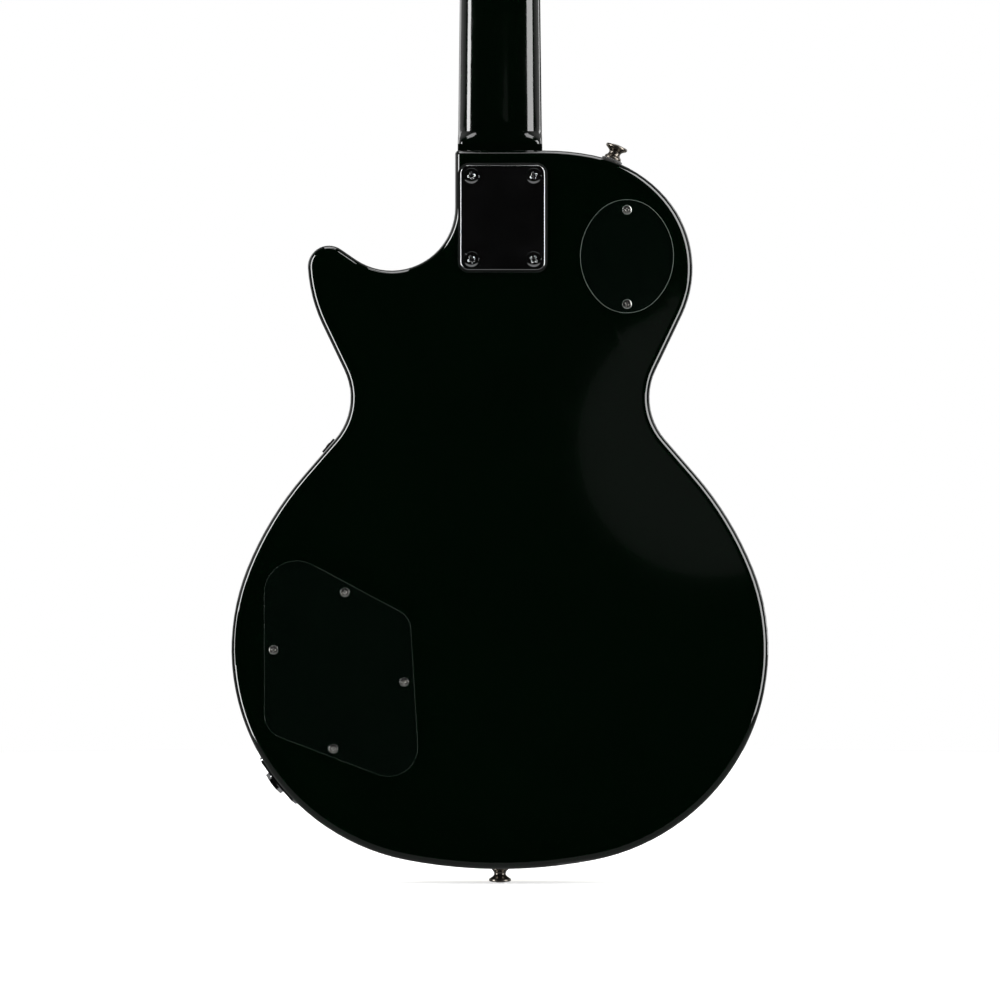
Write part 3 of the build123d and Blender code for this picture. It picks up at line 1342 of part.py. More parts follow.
def make_knob():
    """A knob and the shaft it is pushed on, about Z on the bench plateau."""
    low = PLATEAU + KNOB_LIFT
    top = low + KNOB_TALL
    shaft_top = top - 3
    bore = POT_SHAFT + SCREW_FIT
    knob = turned((KNOB_HOLLOW, low), (KNOB_RADIUS, low), (KNOB_RADIUS, low + 2), (KNOB_TOP_RADIUS, top - 1.2),
                  (KNOB_TOP_RADIUS - 1.2, top), (0, top), (0, shaft_top + 0.2), (bore, shaft_top + 0.2),
                  (bore, low + KNOB_HOLLOW_TALL), (KNOB_HOLLOW, low + KNOB_HOLLOW_TALL))
    knob -= Pos(0, KNOB_RADIUS, top) * Box(1.0, 2 * KNOB_RADIUS - 8, 0.8)
    shaft = rod(POT_SHAFT, PANEL_UNDER - POT_TALL + 1.2, shaft_top)
    return [knob, shaft]


SWITCH_PIVOT_Z = PLATEAU - SWITCH_PIVOT_UNDER


def make_toggle_switch():
    """The frame of the three-way switch with its two contact leaves."""
    wide, long, thick = SWITCH_PLATE
    top = PANEL_UNDER
    frame = slab(Rectangle(wide, long), top - thick, top)
    frame += rod(SWITCH_BUSHING, SWITCH_PIVOT_Z - 4, PLATEAU + SWITCH_BUSHING_PROUD)
    frame -= rod(SWITCH_BORE, SWITCH_PIVOT_Z - 5, PLATEAU + RIM_DEPTH)
    frame -= Pos(0, 0, SWITCH_PIVOT_Z) * Rot(0, 90, 0) * rod(SWITCH_PIN[0] + RUNNING_GAP, -wide, wide)
    leaf = Pos(0, 0, top - thick - SWITCH_LEAF[2] / 2) * Box(*SWITCH_LEAF)
    leaves = [Pos(0, side * SWITCH_LEAF_Y, 0) * leaf for side in (-1, 1)]
    return [Pos(*SWITCH_AT) * piece for piece in [frame] + leaves]


def make_switch_lever():
    """The lever of the switch with its pivot pin and its tip."""
    radius, long = SWITCH_PIN
    lever = rod(LEVER_RADIUS, -LEVER_BELOW, LEVER_ABOVE + 2)
    lever += Sphere(LEVER_RADIUS + 1)
    lever += Rot(0, 90, 0) * rod(radius, -long / 2, long / 2)
    wide, tall = LEVER_TIP
    bore = LEVER_RADIUS + SCREW_FIT
    tip = turned((bore, LEVER_ABOVE - 2), (wide - 1, LEVER_ABOVE - 2), (wide, LEVER_ABOVE + 2),
                 (wide - 0.4, LEVER_ABOVE + tall - 5), (wide - 1.6, LEVER_ABOVE + tall - 2.8),
                 (0, LEVER_ABOVE + tall - 2.2), (0, LEVER_ABOVE + 2.2), (bore, LEVER_ABOVE + 2.2))
    return [Pos(*SWITCH_AT, SWITCH_PIVOT_Z) * piece for piece in (lever, tip)]


def wire(*points):
    """A wire along straight runs and round bends."""
    path = FilletPolyline(*points, radius=WIRE_BEND)
    return sweep(Plane(path @ 0, z_dir=path % 0) * Circle(WIRE_RADIUS), path=path)


def make_wiring():
    """The harness through the drillings, the jack lead and the tone capacitors."""
    level = CHANNEL_Z - CHANNEL_RADIUS + WIRE_RADIUS + WIRE_REST
    can_under = PANEL_UNDER - POT_TALL - WIRE_REST
    harness = wire((*HARNESS_STOPS[0], can_under), *[(x, y, level) for x, y in HARNESS_STOPS])
    jack_end = JACK_PLACE.origin - JACK_PLACE.z_dir * (JACK_SHOULDER + JACK_BARREL_LENGTH + WIRE_REST)
    jack_clear = JACK_PLACE.origin - JACK_PLACE.z_dir * JACK_HOLE_DEEP
    x, y = POTS[2][0] + POT_RADIUS / 2, POTS[2][1]
    lead = wire(tuple(jack_end), tuple(jack_clear), (x, y, 0), (x, y, can_under))
    capacitor = rod(CAPACITOR[0], can_under - CAPACITOR[1], can_under)
    return [harness, lead] + [Pos(*POTS[number], 0) * capacitor for number in (1, 3)]


# ---------------------------------------------------------------------------------------- assembly
def make_trim_screws():
    """Every small wood screw of the trim."""
    small = screw(TRIM_SCREW)
    pieces = []
    for y, top in ring_tops():
        pieces += [Pos(x, y + dy, ring_slope(y, dy)) * screw(ring_screw(top)) for x, dy in grid(*RING_SCREWS)]
    pieces += [JACK_PLACE * piece for piece in place_all(small, jack_screw_spots(), JACK_SCREW_SEAT)]
    pieces.append(bracket_screw_place() * small)
    pieces.append(Pos(*STANDOFF_AT, GUARD_UNDER + GUARD_THICK) * small)
    pieces.append(BRACKET_SIDE_SCREW * small)
    pieces += [HEAD * Pos(x, y, ROD_COVER[2]) * small for x, y in ROD_COVER_SCREWS]
    pieces += [HEAD * Pos(x, y + ear_offset(), -HEAD_THICK - EAR_THICK) * FACING_BACK * small
               for x, y in tuner_spots()]
    return pieces


def save_static_pieces():
    """Writes every node that does not move."""
    save("body_back", make_body_back())
    save("top_cap", make_top_cap())
    save("top_binding", make_top_binding())
    save("neck", make_neck())
    board, frets, markers = make_fretboard_set()
    save("fretboard", board)
    save("frets", *frets)
    save("fret_markers", *markers)
    save("nut", make_nut())
    save("truss_rod", *make_truss_rod())
    save("truss_rod_cover", make_truss_rod_cover())
    plate, cushion, screws = make_neck_plate_set()
    save("neck_plate", plate)
    save("neck_plate_cushion", cushion)
    save("neck_screws", *screws)
    save("switch_cover", make_cover(switch_cover_plan(), SWITCH_COVER_SCREWS))
    save("control_cover", make_cover(control_cover_plan(), CONTROL_SCREWS))
    save("cover_screws", *place_all(FACING_BACK * screw(COVER_SCREW, 0.4), cover_screw_spots(), BACK))
    save("strap_buttons", *[make_strap_button(place, lift) for place, lift in BUTTON_SEATS])
    save("strap_button_felt", SHOULDER_PLACE * ring(FELT[0], BUTTON_SCREW[1] / 2 + SCREW_FIT, 0, FELT[1]))
    save("strap_button_screws", *[place * Pos(0, 0, lift + BUTTON_TALL) * screw(BUTTON_SCREW)
                                  for place, lift in BUTTON_SEATS])
    save("jack_plate", make_jack_plate())
    save("output_jack", make_output_jack())
    save("panel_nuts", *make_panel_nuts())
    save("pickguard", make_pickguard())
    save("pickguard_bracket", *make_bracket())
    save("trim_screws", *make_trim_screws())
    save("pickup_rings", *[make_pickup_ring(y, top) for y, top in ring_tops()])
    save("pickup_height_screws", *make_height_screws())
    save("bridge", make_bridge())
    save("bridge_saddles", *make_saddles())
    save("bridge_studs", *make_bridge_studs())
    save("tailpiece", make_tailpiece())
    save("tailpiece_studs", *make_tail_studs())
    save("toggle_switch", *make_toggle_switch())
    save("switch_ring", Pos(*SWITCH_AT) * ring(SWITCH_RING[0], SWITCH_BUSHING + SCREW_FIT, SEAT_LOW,
                                               SEAT_LOW + SWITCH_RING[1]))
    save("potentiometers", *make_potentiometers())
    save("tuner_housings", *[HEAD * Pos(x, y, 0) * sided(x, tuner_housing()) for x, y in tuner_spots()])
    save("tuner_bushings", *[HEAD * Pos(x, y, 0) * tuner_bushing() for x, y in tuner_spots()])
    strings = [make_string(number, gauge) for number, gauge in enumerate(STRING_GAUGES)]
    save("strings", *[piece for string in strings for piece in string])
    save("wiring", *make_wiring())


def save_moving_pieces():
    """Writes the pickups, tuners, knobs and the switch lever."""
    for name, y in (("neck", NECK_PICKUP_Y), ("bridge", BRIDGE_PICKUP_Y)):
        cover, base = make_pickup(y)
        save(f"{name}_pickup_cover", cover)
        save(f"{name}_pickup_base", *base)
    for number, (x, y) in enumerate(tuner_spots()):
        place = HEAD * Pos(x, y, 0)
        save(f"tuner_key_{number + 1}", place * sided(x, tuner_key(y)))
        post = [string_post()] + string_wraps(STRING_GAUGES[number])
        save(f"string_post_{number + 1}", *[place * piece for piece in post])
    for name, (x, y) in zip(KNOB_NAMES, POTS):
        save(name, *[Pos(x, y, 0) * piece for piece in make_knob()])
    save("switch_lever", *make_switch_lever())


if __name__ == "__main__":
    os.makedirs("parts", exist_ok=True)
    save_static_pieces()
    save_moving_pieces()
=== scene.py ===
import json
import math
import random

import bmesh
import bpy
import numpy as np
from bpy.props import FloatProperty, FloatVectorProperty, IntProperty, PointerProperty
from mathutils import Matrix, Vector
from mathutils.kdtree import KDTree


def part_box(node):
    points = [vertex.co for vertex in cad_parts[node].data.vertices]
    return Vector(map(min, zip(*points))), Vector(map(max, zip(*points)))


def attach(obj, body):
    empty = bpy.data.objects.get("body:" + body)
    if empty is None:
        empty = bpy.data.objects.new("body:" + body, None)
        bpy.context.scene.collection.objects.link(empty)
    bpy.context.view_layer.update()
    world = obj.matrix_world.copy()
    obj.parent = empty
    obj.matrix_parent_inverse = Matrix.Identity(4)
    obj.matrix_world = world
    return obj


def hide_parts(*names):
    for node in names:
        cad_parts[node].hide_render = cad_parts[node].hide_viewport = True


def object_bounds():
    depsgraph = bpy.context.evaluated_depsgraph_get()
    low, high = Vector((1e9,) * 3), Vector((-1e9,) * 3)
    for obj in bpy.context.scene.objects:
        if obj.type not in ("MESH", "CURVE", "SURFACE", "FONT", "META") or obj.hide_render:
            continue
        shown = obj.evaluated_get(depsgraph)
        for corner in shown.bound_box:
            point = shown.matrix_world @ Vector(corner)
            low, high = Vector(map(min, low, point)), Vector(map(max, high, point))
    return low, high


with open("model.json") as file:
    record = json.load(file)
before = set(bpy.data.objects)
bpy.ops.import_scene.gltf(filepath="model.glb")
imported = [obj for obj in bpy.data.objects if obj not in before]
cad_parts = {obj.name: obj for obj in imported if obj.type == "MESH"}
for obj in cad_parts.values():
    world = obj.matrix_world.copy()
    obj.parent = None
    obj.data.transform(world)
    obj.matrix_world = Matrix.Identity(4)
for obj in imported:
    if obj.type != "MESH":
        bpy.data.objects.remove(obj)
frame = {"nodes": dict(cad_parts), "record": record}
CAD_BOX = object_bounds()

bl_info = {
    "name": "Electric Guitar Workshop",
    "version": (1, 0, 0),
    "blender": (4, 5, 0),
    "location": "View3D > Sidebar > Guitar",
    "description": "Finishes and fittings of a single-cutaway electric guitar",
    "category": "Object",
}

# The instrument stands on its end strap button: Z runs up to the headstock, the front faces -Y
# and the cutaway is on the +X side. Lengths are in metres.

MM = 0.001
SEED = 7
WELD = 2e-6
FLAT_ANGLE = math.radians(0.4)
SHARP_ANGLE = math.radians(34)

NODES = frame["nodes"]
SLOT_OF = {part["node"]: part["material_slot"] for part in frame["record"]["subparts"]}
BODIES = frame["record"]["behaviour"]["bodies"]
BODY_OF = {node: body for body, nodes in BODIES.items() for node in nodes}
MOUNTS = {mount["name"]: mount for mount in frame["record"]["mounts"]}
BACK_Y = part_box("body_back")[1].y
NECK_TILT = math.radians(2.75)
NECK_SEAT = Vector((0, -24.51, 440.57)) * MM
NECK_AXIS = Vector((0, math.sin(NECK_TILT), math.cos(NECK_TILT)))
NECK_FACE = Vector((0, -math.cos(NECK_TILT), math.sin(NECK_TILT)))
NECK_LENGTH = 378.8 * MM
SHAFT = (14.5 * MM, 361.8 * MM)
SHAFT_FADE = 3 * MM
SHAFT_DEPTHS = (17.8 * MM, 15.0 * MM)
SHAFT_HALVES = (26.15 * MM, 21.5 * MM)
SHAFT_POWER = 2.5
SHAFT_SKIN = 0.96
ARCH_LEAN = 0.85
ARCH_REACH = 9 * MM
SCREWS = ("neck_screws", "cover_screws", "trim_screws", "strap_button_screws", "pickup_height_screws")
KNOBS = ("neck_volume_knob", "neck_tone_knob", "bridge_volume_knob", "bridge_tone_knob")


# ------------------------------------------------------------------------------------- settings
class FinishSettings(bpy.types.PropertyGroup):
    lacquer: FloatVectorProperty(
        name="Lacquer", description="Colour of the polyester on the body and the neck",
        subtype="COLOR", size=3, min=0, max=1, default=(0.0001, 0.0011, 0.0003))
    lacquer_roughness: FloatProperty(
        name="Lacquer roughness", description="0 is a mirror polish", subtype="FACTOR",
        min=0, max=1, default=0.045)
    orange_peel: FloatProperty(
        name="Orange peel", description="Height of the ripple left in the lacquer", unit="LENGTH",
        precision=6, min=0, max=0.0005, default=0.000006)
    binding: FloatVectorProperty(
        name="Binding", description="Colour of the binding", subtype="COLOR", size=3,
        min=0, max=1, default=(0.66, 0.56, 0.37))
    board_dark: FloatVectorProperty(
        name="Fretboard, dark grain", description="Darker colour of the rosewood",
        subtype="COLOR", size=3, min=0, max=1, default=(0.014, 0.0065, 0.004))
    board_light: FloatVectorProperty(
        name="Fretboard, light grain", description="Lighter colour of the rosewood",
        subtype="COLOR", size=3, min=0, max=1, default=(0.075, 0.033, 0.018))
    chrome: FloatVectorProperty(
        name="Chrome", description="Colour of the plated parts", subtype="COLOR", size=3,
        min=0, max=1, default=(0.78, 0.79, 0.8))
    plastic: FloatVectorProperty(
        name="Plastic", description="Colour of the covers, the rings and the pickguard",
        subtype="COLOR", size=3, min=0, max=1, default=(0.00045, 0.0014, 0.0008))


class FittingSettings(bpy.types.PropertyGroup):
    edge_break: FloatProperty(
        name="Edge break", description="Width of the broken edges of plates and covers",
        unit="LENGTH", precision=5, min=0, max=0.002, default=0.0005)
    screw_steps: IntProperty(
        name="Screw detail", description="Facets around a screw head", min=16, max=96, default=40)
    knob_flutes: IntProperty(
        name="Knob flutes", description="Flutes around a knob", min=8, max=72, default=36)
    flute_depth: FloatProperty(
        name="Flute depth", description="Depth of a knob's flutes", unit="LENGTH", precision=5,
        min=0, max=0.001, default=0.00032)
    felt_fuzz: FloatProperty(
        name="Felt fuzz", description="How far the fibres of the felt stand out", unit="LENGTH",
        precision=5, min=0, max=0.001, default=0.00012)


class StageSettings(bpy.types.PropertyGroup):
    camera_distance: FloatProperty(
        name="Camera distance", description="From the back of the body to the camera",
        unit="LENGTH", min=0.5, max=10, default=3.0)
    camera_height: FloatProperty(
        name="Camera height", description="Height of the camera over the end of the body",
        unit="LENGTH", min=-1, max=3, default=0.2263)
    field_width: FloatProperty(
        name="Field width", description="Width that the camera sees at the back of the body",
        unit="LENGTH", min=0.1, max=5, default=0.612)
    floor_radius: FloatProperty(
        name="Floor radius", description="Radius of the studio floor", unit="LENGTH",
        min=0.2, max=30, default=1.6)
    softbox: FloatProperty(
        name="Softboxes", description="Brightness of the strip softboxes", min=0, max=100,
        default=1.0)


# ----------------------------------------------------------------------------------- materials
class Finish:
    """A material being built: its node tree and the shader that the nodes feed."""

    def __init__(self, name, colour, roughness, **constants):
        self.material = bpy.data.materials.new(name)
        self.material.use_nodes = True
        self.tree = self.material.node_tree
        self.shader = self.tree.nodes["Principled BSDF"]
        self.shader.inputs["Base Color"].default_value = (*colour, 1)
        self.shader.inputs["Roughness"].default_value = roughness
        for socket, value in constants.items():
            self.shader.inputs[socket.replace("_", " ")].default_value = value
        self.bump_node = None

    def node(self, kind, **values):
        made = self.tree.nodes.new("ShaderNode" + kind)
        for name, value in values.items():
            setattr(made, name, value)
        return made

    def link(self, start, end):
        self.tree.links.new(start, end)

    def place(self, stretch=(1, 1, 1)):
        """Object coordinates, stretched along the axes where the numbers are under one."""
        coordinates = self.node("TexCoord")
        mapping = self.node("Mapping")
        mapping.inputs["Scale"].default_value = stretch
        self.link(coordinates.outputs["Object"], mapping.inputs["Vector"])
        return mapping.outputs["Vector"]

    def noise(self, scale, detail=3.0, rough=0.55, stretch=(1, 1, 1), warp=0.0):
        made = self.node("TexNoise")
        made.inputs["Scale"].default_value = scale
        made.inputs["Detail"].default_value = detail
        made.inputs["Roughness"].default_value = rough
        made.inputs["Distortion"].default_value = warp
        self.link(self.place(stretch), made.inputs["Vector"])
        return made.outputs["Fac"]

    def cells(self, scale, stretch=(1, 1, 1)):
        made = self.node("TexVoronoi")
        made.inputs["Scale"].default_value = scale
        self.link(self.place(stretch), made.inputs["Vector"])
        return made

    def bands(self, scale, axis, warp=0.0):
        made = self.node("TexWave", wave_type="BANDS", bands_direction=axis, wave_profile="SIN")
        made.inputs["Scale"].default_value = scale
        made.inputs["Distortion"].default_value = warp
        self.link(self.place(), made.inputs["Vector"])
        return made.outputs["Fac"]

    def spread(self, value, low, high, start=0.3, end=0.7):
        """A value mapped from start..end on to low..high."""
        made = self.node("MapRange")
        set_range(made, start, end, low, high)
        self.link(value, made.inputs["Value"])
        return made.outputs["Result"]

    def math(self, operation, first, second):
        made = self.node("Math", operation=operation)
        for socket, value in zip(made.inputs, (first, second)):
            if isinstance(value, (int, float)):
                socket.default_value = value
            else:
                self.link(value, socket)
        return made.outputs["Value"]

    def mix(self, factor, first, second):
        made = self.node("Mix", data_type="RGBA")
        self.link(factor, made.inputs["Factor"])
        for socket, colour in ((made.inputs[6], first), (made.inputs[7], second)):
            if isinstance(colour, (tuple, list)) or hasattr(colour, "r"):
                socket.default_value = (*colour, 1)
            else:
                self.link(colour, socket)
        return made.outputs[2]

    def colour(self, value):
        self.link(value, self.shader.inputs["Base Color"])

    def rough(self, value, low, high, start=0.3, end=0.7):
        self.link(self.spread(value, low, high, start, end), self.shader.inputs["Roughness"])

    def bump(self, height, depth, strength=1.0):
        """Adds a relief of a real depth in metres on top of any that is there."""
        made = self.node("Bump")
        made.inputs["Strength"].default_value = strength
        made.inputs["Distance"].default_value = depth
        self.link(height, made.inputs["Height"])
        if self.bump_node:
            self.link(self.bump_node.outputs["Normal"], made.inputs["Normal"])
        self.link(made.outputs["Normal"], self.shader.inputs["Normal"])
        self.bump_node = made


def set_range(node, start, end, low, high):
    """Sets a Map Range node to take start..end on to low..high."""
    for name, number in (("From Min", start), ("From Max", end), ("To Min", low), ("To Max", high)):
        node.inputs[name].default_value = number


def shade(colour, share):
    """A colour made darker, or lighter above one."""
    return tuple(min(1.0, channel * share) for channel in colour)


def lacquer(finishes, name="black polyester", gloss=1.0):
    """Deep black polyester: a buffed coat with a trace of orange peel."""
    rough = finishes.lacquer_roughness * gloss
    made = Finish(name, finishes.lacquer, rough, Coat_Weight=0.6, Coat_Roughness=0.02, IOR=1.5)
    cloud = made.noise(9, 4, 0.6)
    made.colour(made.mix(cloud, shade(finishes.lacquer, 0.8), shade(finishes.lacquer, 1.35)))
    haze = made.noise(46, 5, 0.62, warp=0.6)
    made.rough(haze, rough * 0.75, rough * 1.5)
    made.bump(made.noise(430, 2, 0.45), finishes.orange_peel)
    return made.material


def rosewood(finishes):
    """Oiled rosewood with long pores and streaks along the neck."""
    made = Finish("oiled rosewood", finishes.board_dark, 0.4, Specular_IOR_Level=0.4)
    streaks = made.noise(150, 6, 0.62, stretch=(1, 1, 0.035), warp=0.8)
    broad = made.noise(38, 3, 0.5, stretch=(1, 1, 0.09), warp=1.2)
    mixed = made.math("MULTIPLY", made.spread(streaks, 0.0, 1.0), made.spread(broad, 0.35, 1.0))
    made.colour(made.mix(mixed, finishes.board_dark, finishes.board_light))
    pores = made.spread(made.noise(900, 2, 0.5, stretch=(1, 1, 0.05)), 1.0, 0.0, 0.3, 0.38)
    made.rough(streaks, 0.3, 0.52)
    made.bump(pores, -0.00006)
    made.bump(streaks, 0.00003)
    return made.material


def celluloid(finishes):
    """Warm ivory binding with faint grain along the rim."""
    made = Finish("ivory celluloid", finishes.binding, 0.2, Subsurface_Weight=0.12, Coat_Weight=0.5)
    grain = made.noise(240, 4, 0.6, stretch=(1, 3, 1))
    made.colour(made.mix(grain, shade(finishes.binding, 0.9), shade(finishes.binding, 1.1)))
    made.rough(made.noise(90, 3), 0.12, 0.28)
    made.bump(made.noise(700, 2), 0.000012)
    return made.material


def pearl():
    """Pearl inlay: folded layers that shift between pink, green and silver."""
    made = Finish("pearl", (0.8, 0.8, 0.78), 0.18, Coat_Weight=1.0, Coat_Roughness=0.05)
    folds = made.noise(190, 4, 0.6, warp=3.5)
    tint = made.mix(made.spread(folds, 0, 1, 0.35, 0.65), (0.86, 0.73, 0.76), (0.68, 0.86, 0.79))
    layer = made.noise(420, 3, 0.5, stretch=(1, 1, 0.4), warp=2.0)
    made.colour(made.mix(made.spread(layer, 0, 1, 0.4, 0.75), tint, (0.93, 0.93, 0.9)))
    made.rough(folds, 0.1, 0.3)
    made.bump(folds, 0.00002)
    return made.material


def bone():
    """Polished bone with fine pores."""
    made = Finish("bone", (0.82, 0.77, 0.65), 0.3, Subsurface_Weight=0.15)
    marrow = made.noise(320, 5, 0.6, stretch=(0.25, 1, 1))
    made.colour(made.mix(marrow, (0.74, 0.67, 0.52), (0.88, 0.84, 0.74)))
    made.rough(marrow, 0.22, 0.42)
    made.bump(made.noise(1500, 2), 0.000015)
    return made.material


def plated(name, colour, low, high, scratch=0.000002):
    """A plated metal with smudges and hairline polishing marks."""
    made = Finish(name, colour, low, Metallic=1.0)
    smudge = made.noise(75, 5, 0.6, warp=0.5)
    made.colour(made.mix(smudge, shade(colour, 0.94), shade(colour, 1.04)))
    made.rough(smudge, low, high)
    made.bump(made.noise(900, 2, 0.5, stretch=(1, 1, 0.08)), scratch)
    return made.material


def brushed_steel(name, colour, low, high):
    """Turned steel with a fine directional grain."""
    made = Finish(name, colour, low, Metallic=1.0)
    grain = made.noise(1600, 3, 0.6, stretch=(1, 1, 0.2))
    made.colour(made.mix(made.noise(160, 4), shade(colour, 0.8), shade(colour, 1.1)))
    made.rough(grain, low, high)
    made.bump(grain, 0.000004)
    return made.material


def moulded(name, colour, low, high, grain=1100, depth=0.00001):
    """Moulded plastic with a fine satin grain and a few handling marks."""
    made = Finish(name, colour, low)
    wear = made.noise(60, 5, 0.65, warp=0.7)
    made.colour(made.mix(wear, shade(colour, 0.8), shade(colour, 1.4)))
    made.rough(wear, low, high)
    made.bump(made.noise(grain, 3, 0.6), depth)
    return made.material


def felt():
    """Black pressed wool with matted fibres."""
    made = Finish("wool felt", (0.012, 0.012, 0.012), 0.95, Sheen_Weight=0.5, Sheen_Roughness=0.6)
    fibres = made.noise(2400, 4, 0.7, warp=2.0)
    made.colour(made.mix(fibres, (0.006, 0.006, 0.006), (0.035, 0.034, 0.033)))
    made.rough(fibres, 0.85, 1.0)
    made.bump(fibres, 0.00012)
    return made.material


def zinc():
    """Stamped zinc-plated steel with its crystal pattern."""
    made = Finish("zinc plate", (0.6, 0.61, 0.63), 0.35, Metallic=1.0)
    crystals = made.cells(420)
    made.colour(made.mix(crystals.outputs["Color"], (0.5, 0.51, 0.54), (0.7, 0.7, 0.72)))
    made.rough(made.noise(200, 3), 0.25, 0.48)
    made.bump(crystals.outputs["Distance"], 0.00001)
    return made.material


def string_wire():
    """String steel: round-wound on the bass side, plain on the treble side, with painted shade in bands
    along the windings.
    """
    made = Finish("string steel", (0.66, 0.65, 0.62), 0.22, Metallic=1.0)
    windings = made.bands(560, "Z")
    side = made.node("SeparateXYZ")
    made.link(made.place(), side.inputs[0])
    wound = made.math("LESS_THAN", side.outputs["X"], 0.0)
    winding_relief_and_shade = made.math("MULTIPLY", windings, wound)
    # The windings darken the colour in bands as well as raising a relief: painted shade along the
    # windings.
    made.colour(made.mix(winding_relief_and_shade, (0.72, 0.71, 0.69), (0.42, 0.41, 0.38)))
    made.rough(made.noise(300, 3), 0.16, 0.34)
    made.bump(winding_relief_and_shade, 0.0001)
    return made.material


def wire_cloth():
    """Braided cloth over the leads inside."""
    made = Finish("braided sheath", (0.5, 0.45, 0.33), 0.8)
    braid = made.cells(1400, (1, 1, 0.5))
    made.colour(made.mix(braid.outputs["Color"], (0.3, 0.26, 0.18), (0.6, 0.55, 0.42)))
    made.rough(made.noise(600, 2), 0.65, 0.9)
    made.bump(braid.outputs["Distance"], 0.00015)
    return made.material


def make_finishes(finishes):
    """One material for each of the record's material slots."""
    return {
        "body_lacquer": lacquer(finishes),
        "neck_lacquer": lacquer(finishes, "neck polyester", 2.0),
        "fretboard_wood": rosewood(finishes),
        "binding": celluloid(finishes),
        "fret_metal": brushed_steel("nickel silver", (0.72, 0.7, 0.64), 0.1, 0.24),
        "inlay": pearl(),
        "nut_material": bone(),
        "rod_steel": brushed_steel("rod steel", (0.4, 0.4, 0.42), 0.3, 0.5),
        "black_plastic": moulded("black cover plastic", finishes.plastic, 0.05, 0.1, depth=0.000002),
        # A lighter grey for the covers' broken edges: a painted highlight along their outlines.
        "edge_highlight_plastic": moulded("plastic edge with painted highlight", (0.12, 0.145, 0.13), 0.25, 0.4),
        "cushion_plastic": moulded("soft black plastic", finishes.plastic, 0.4, 0.6),
        "chrome": plated("chrome", finishes.chrome, 0.025, 0.075),
        "screw_metal": plated("nickel-plated steel", (0.66, 0.65, 0.63), 0.16, 0.3, 0.000006),
        # The strap buttons' chrome made dark and brownish: painted shade standing in for its dim
        # reflections.
        "chrome_with_painted_shade": plated("chrome darkened as painted shade", (0.2, 0.18, 0.155), 0.22, 0.36, 0.000004),
        "felt": felt(),
        "knob_plastic": moulded("black knob plastic", finishes.plastic, 0.16, 0.28, 700, 0.000006),
        "lever_parts": moulded("cream lever plastic", (0.62, 0.5, 0.3), 0.18, 0.3, 800, 0.000006),
        "pickup_parts": moulded("bobbin plastic", shade(finishes.plastic, 1.5), 0.3, 0.45),
        "pot_metal": zinc(),
        "string_metal": string_wire(),
        "wire_sheath": wire_cloth(),
    }


FINISHES = {}


def finish_of(slot):
    """The material of a slot, made with the others the first time that one is asked for."""
    if not FINISHES:
        FINISHES.update(make_finishes(bpy.context.scene.guitar_finishes))
    return FINISHES[slot]


# -------------------------------------------------------------------------------------- meshes
def skin_of(node, joined):
    """A welded copy of a CAD node's skin, with its flat faces joined up if its edges get broken."""
    skin = bmesh.new()
    skin.from_mesh(NODES[node].data)
    bmesh.ops.remove_doubles(skin, verts=skin.verts, dist=WELD)
    bmesh.ops.dissolve_degenerate(skin, edges=skin.edges, dist=WELD)
    if joined:
        bmesh.ops.dissolve_limit(skin, angle_limit=FLAT_ANGLE, verts=skin.verts, edges=skin.edges)
    return skin


def smooth(skin, sharp=SHARP_ANGLE):
    """Smooth shading that breaks at the sharp edges."""
    for face in skin.faces:
        face.smooth = True
    for edge in skin.edges:
        edge.smooth = len(edge.link_faces) == 2 and edge.calc_face_angle() < sharp


def as_piece(skin, name, slot, body="root"):
    """A new piece from a bmesh, with its finish, riding on a body."""
    mesh = bpy.data.meshes.new(name)
    skin.to_mesh(mesh)
    skin.free()
    piece = bpy.data.objects.new(name, mesh)
    bpy.context.scene.collection.objects.link(piece)
    mesh.materials.append(finish_of(slot))
    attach(piece, body)
    return piece


def shaft_normal(point):
    """The normal of the neck's shaft at a point of its skin, and how far it holds there."""
    local = point - NECK_SEAT
    along = local.dot(NECK_AXIS)
    depth = -local.dot(NECK_FACE)
    start, end = SHAFT
    share = min(1.0, (along - start) / SHAFT_FADE, (end - along) / SHAFT_FADE)
    if share <= 0 or depth < -0.1 * MM:
        return None, 0.0
    reach = (along - start) / (end - start)
    deep = SHAFT_DEPTHS[0] + (SHAFT_DEPTHS[1] - SHAFT_DEPTHS[0]) * reach
    half = SHAFT_HALVES[0] + (SHAFT_HALVES[1] - SHAFT_HALVES[0]) * along / NECK_LENGTH
    u = min(1.0, abs(local.x) / half)
    v = min(1.0, max(0.0, depth) / deep)
    if u ** SHAFT_POWER + v ** SHAFT_POWER < SHAFT_SKIN:
        return None, 0.0
    across = math.copysign(u ** (SHAFT_POWER - 1) / half, local.x)
    outward = Vector((across, 0, 0)) - NECK_FACE * (v ** (SHAFT_POWER - 1) / deep)
    return outward.normalized(), share


def true_shaft(piece):
    """Shades the neck's shaft by its own formula, so that its highlights run straight."""
    mesh = piece.data
    normals = [Vector(corner.vector) for corner in mesh.corner_normals]
    for loop in mesh.loops:
        normal, share = shaft_normal(mesh.vertices[loop.vertex_index].co)
        if share > 0:
            normals[loop.index] = normals[loop.index].lerp(normal, share).normalized()
    mesh.normals_split_custom_set(normals)


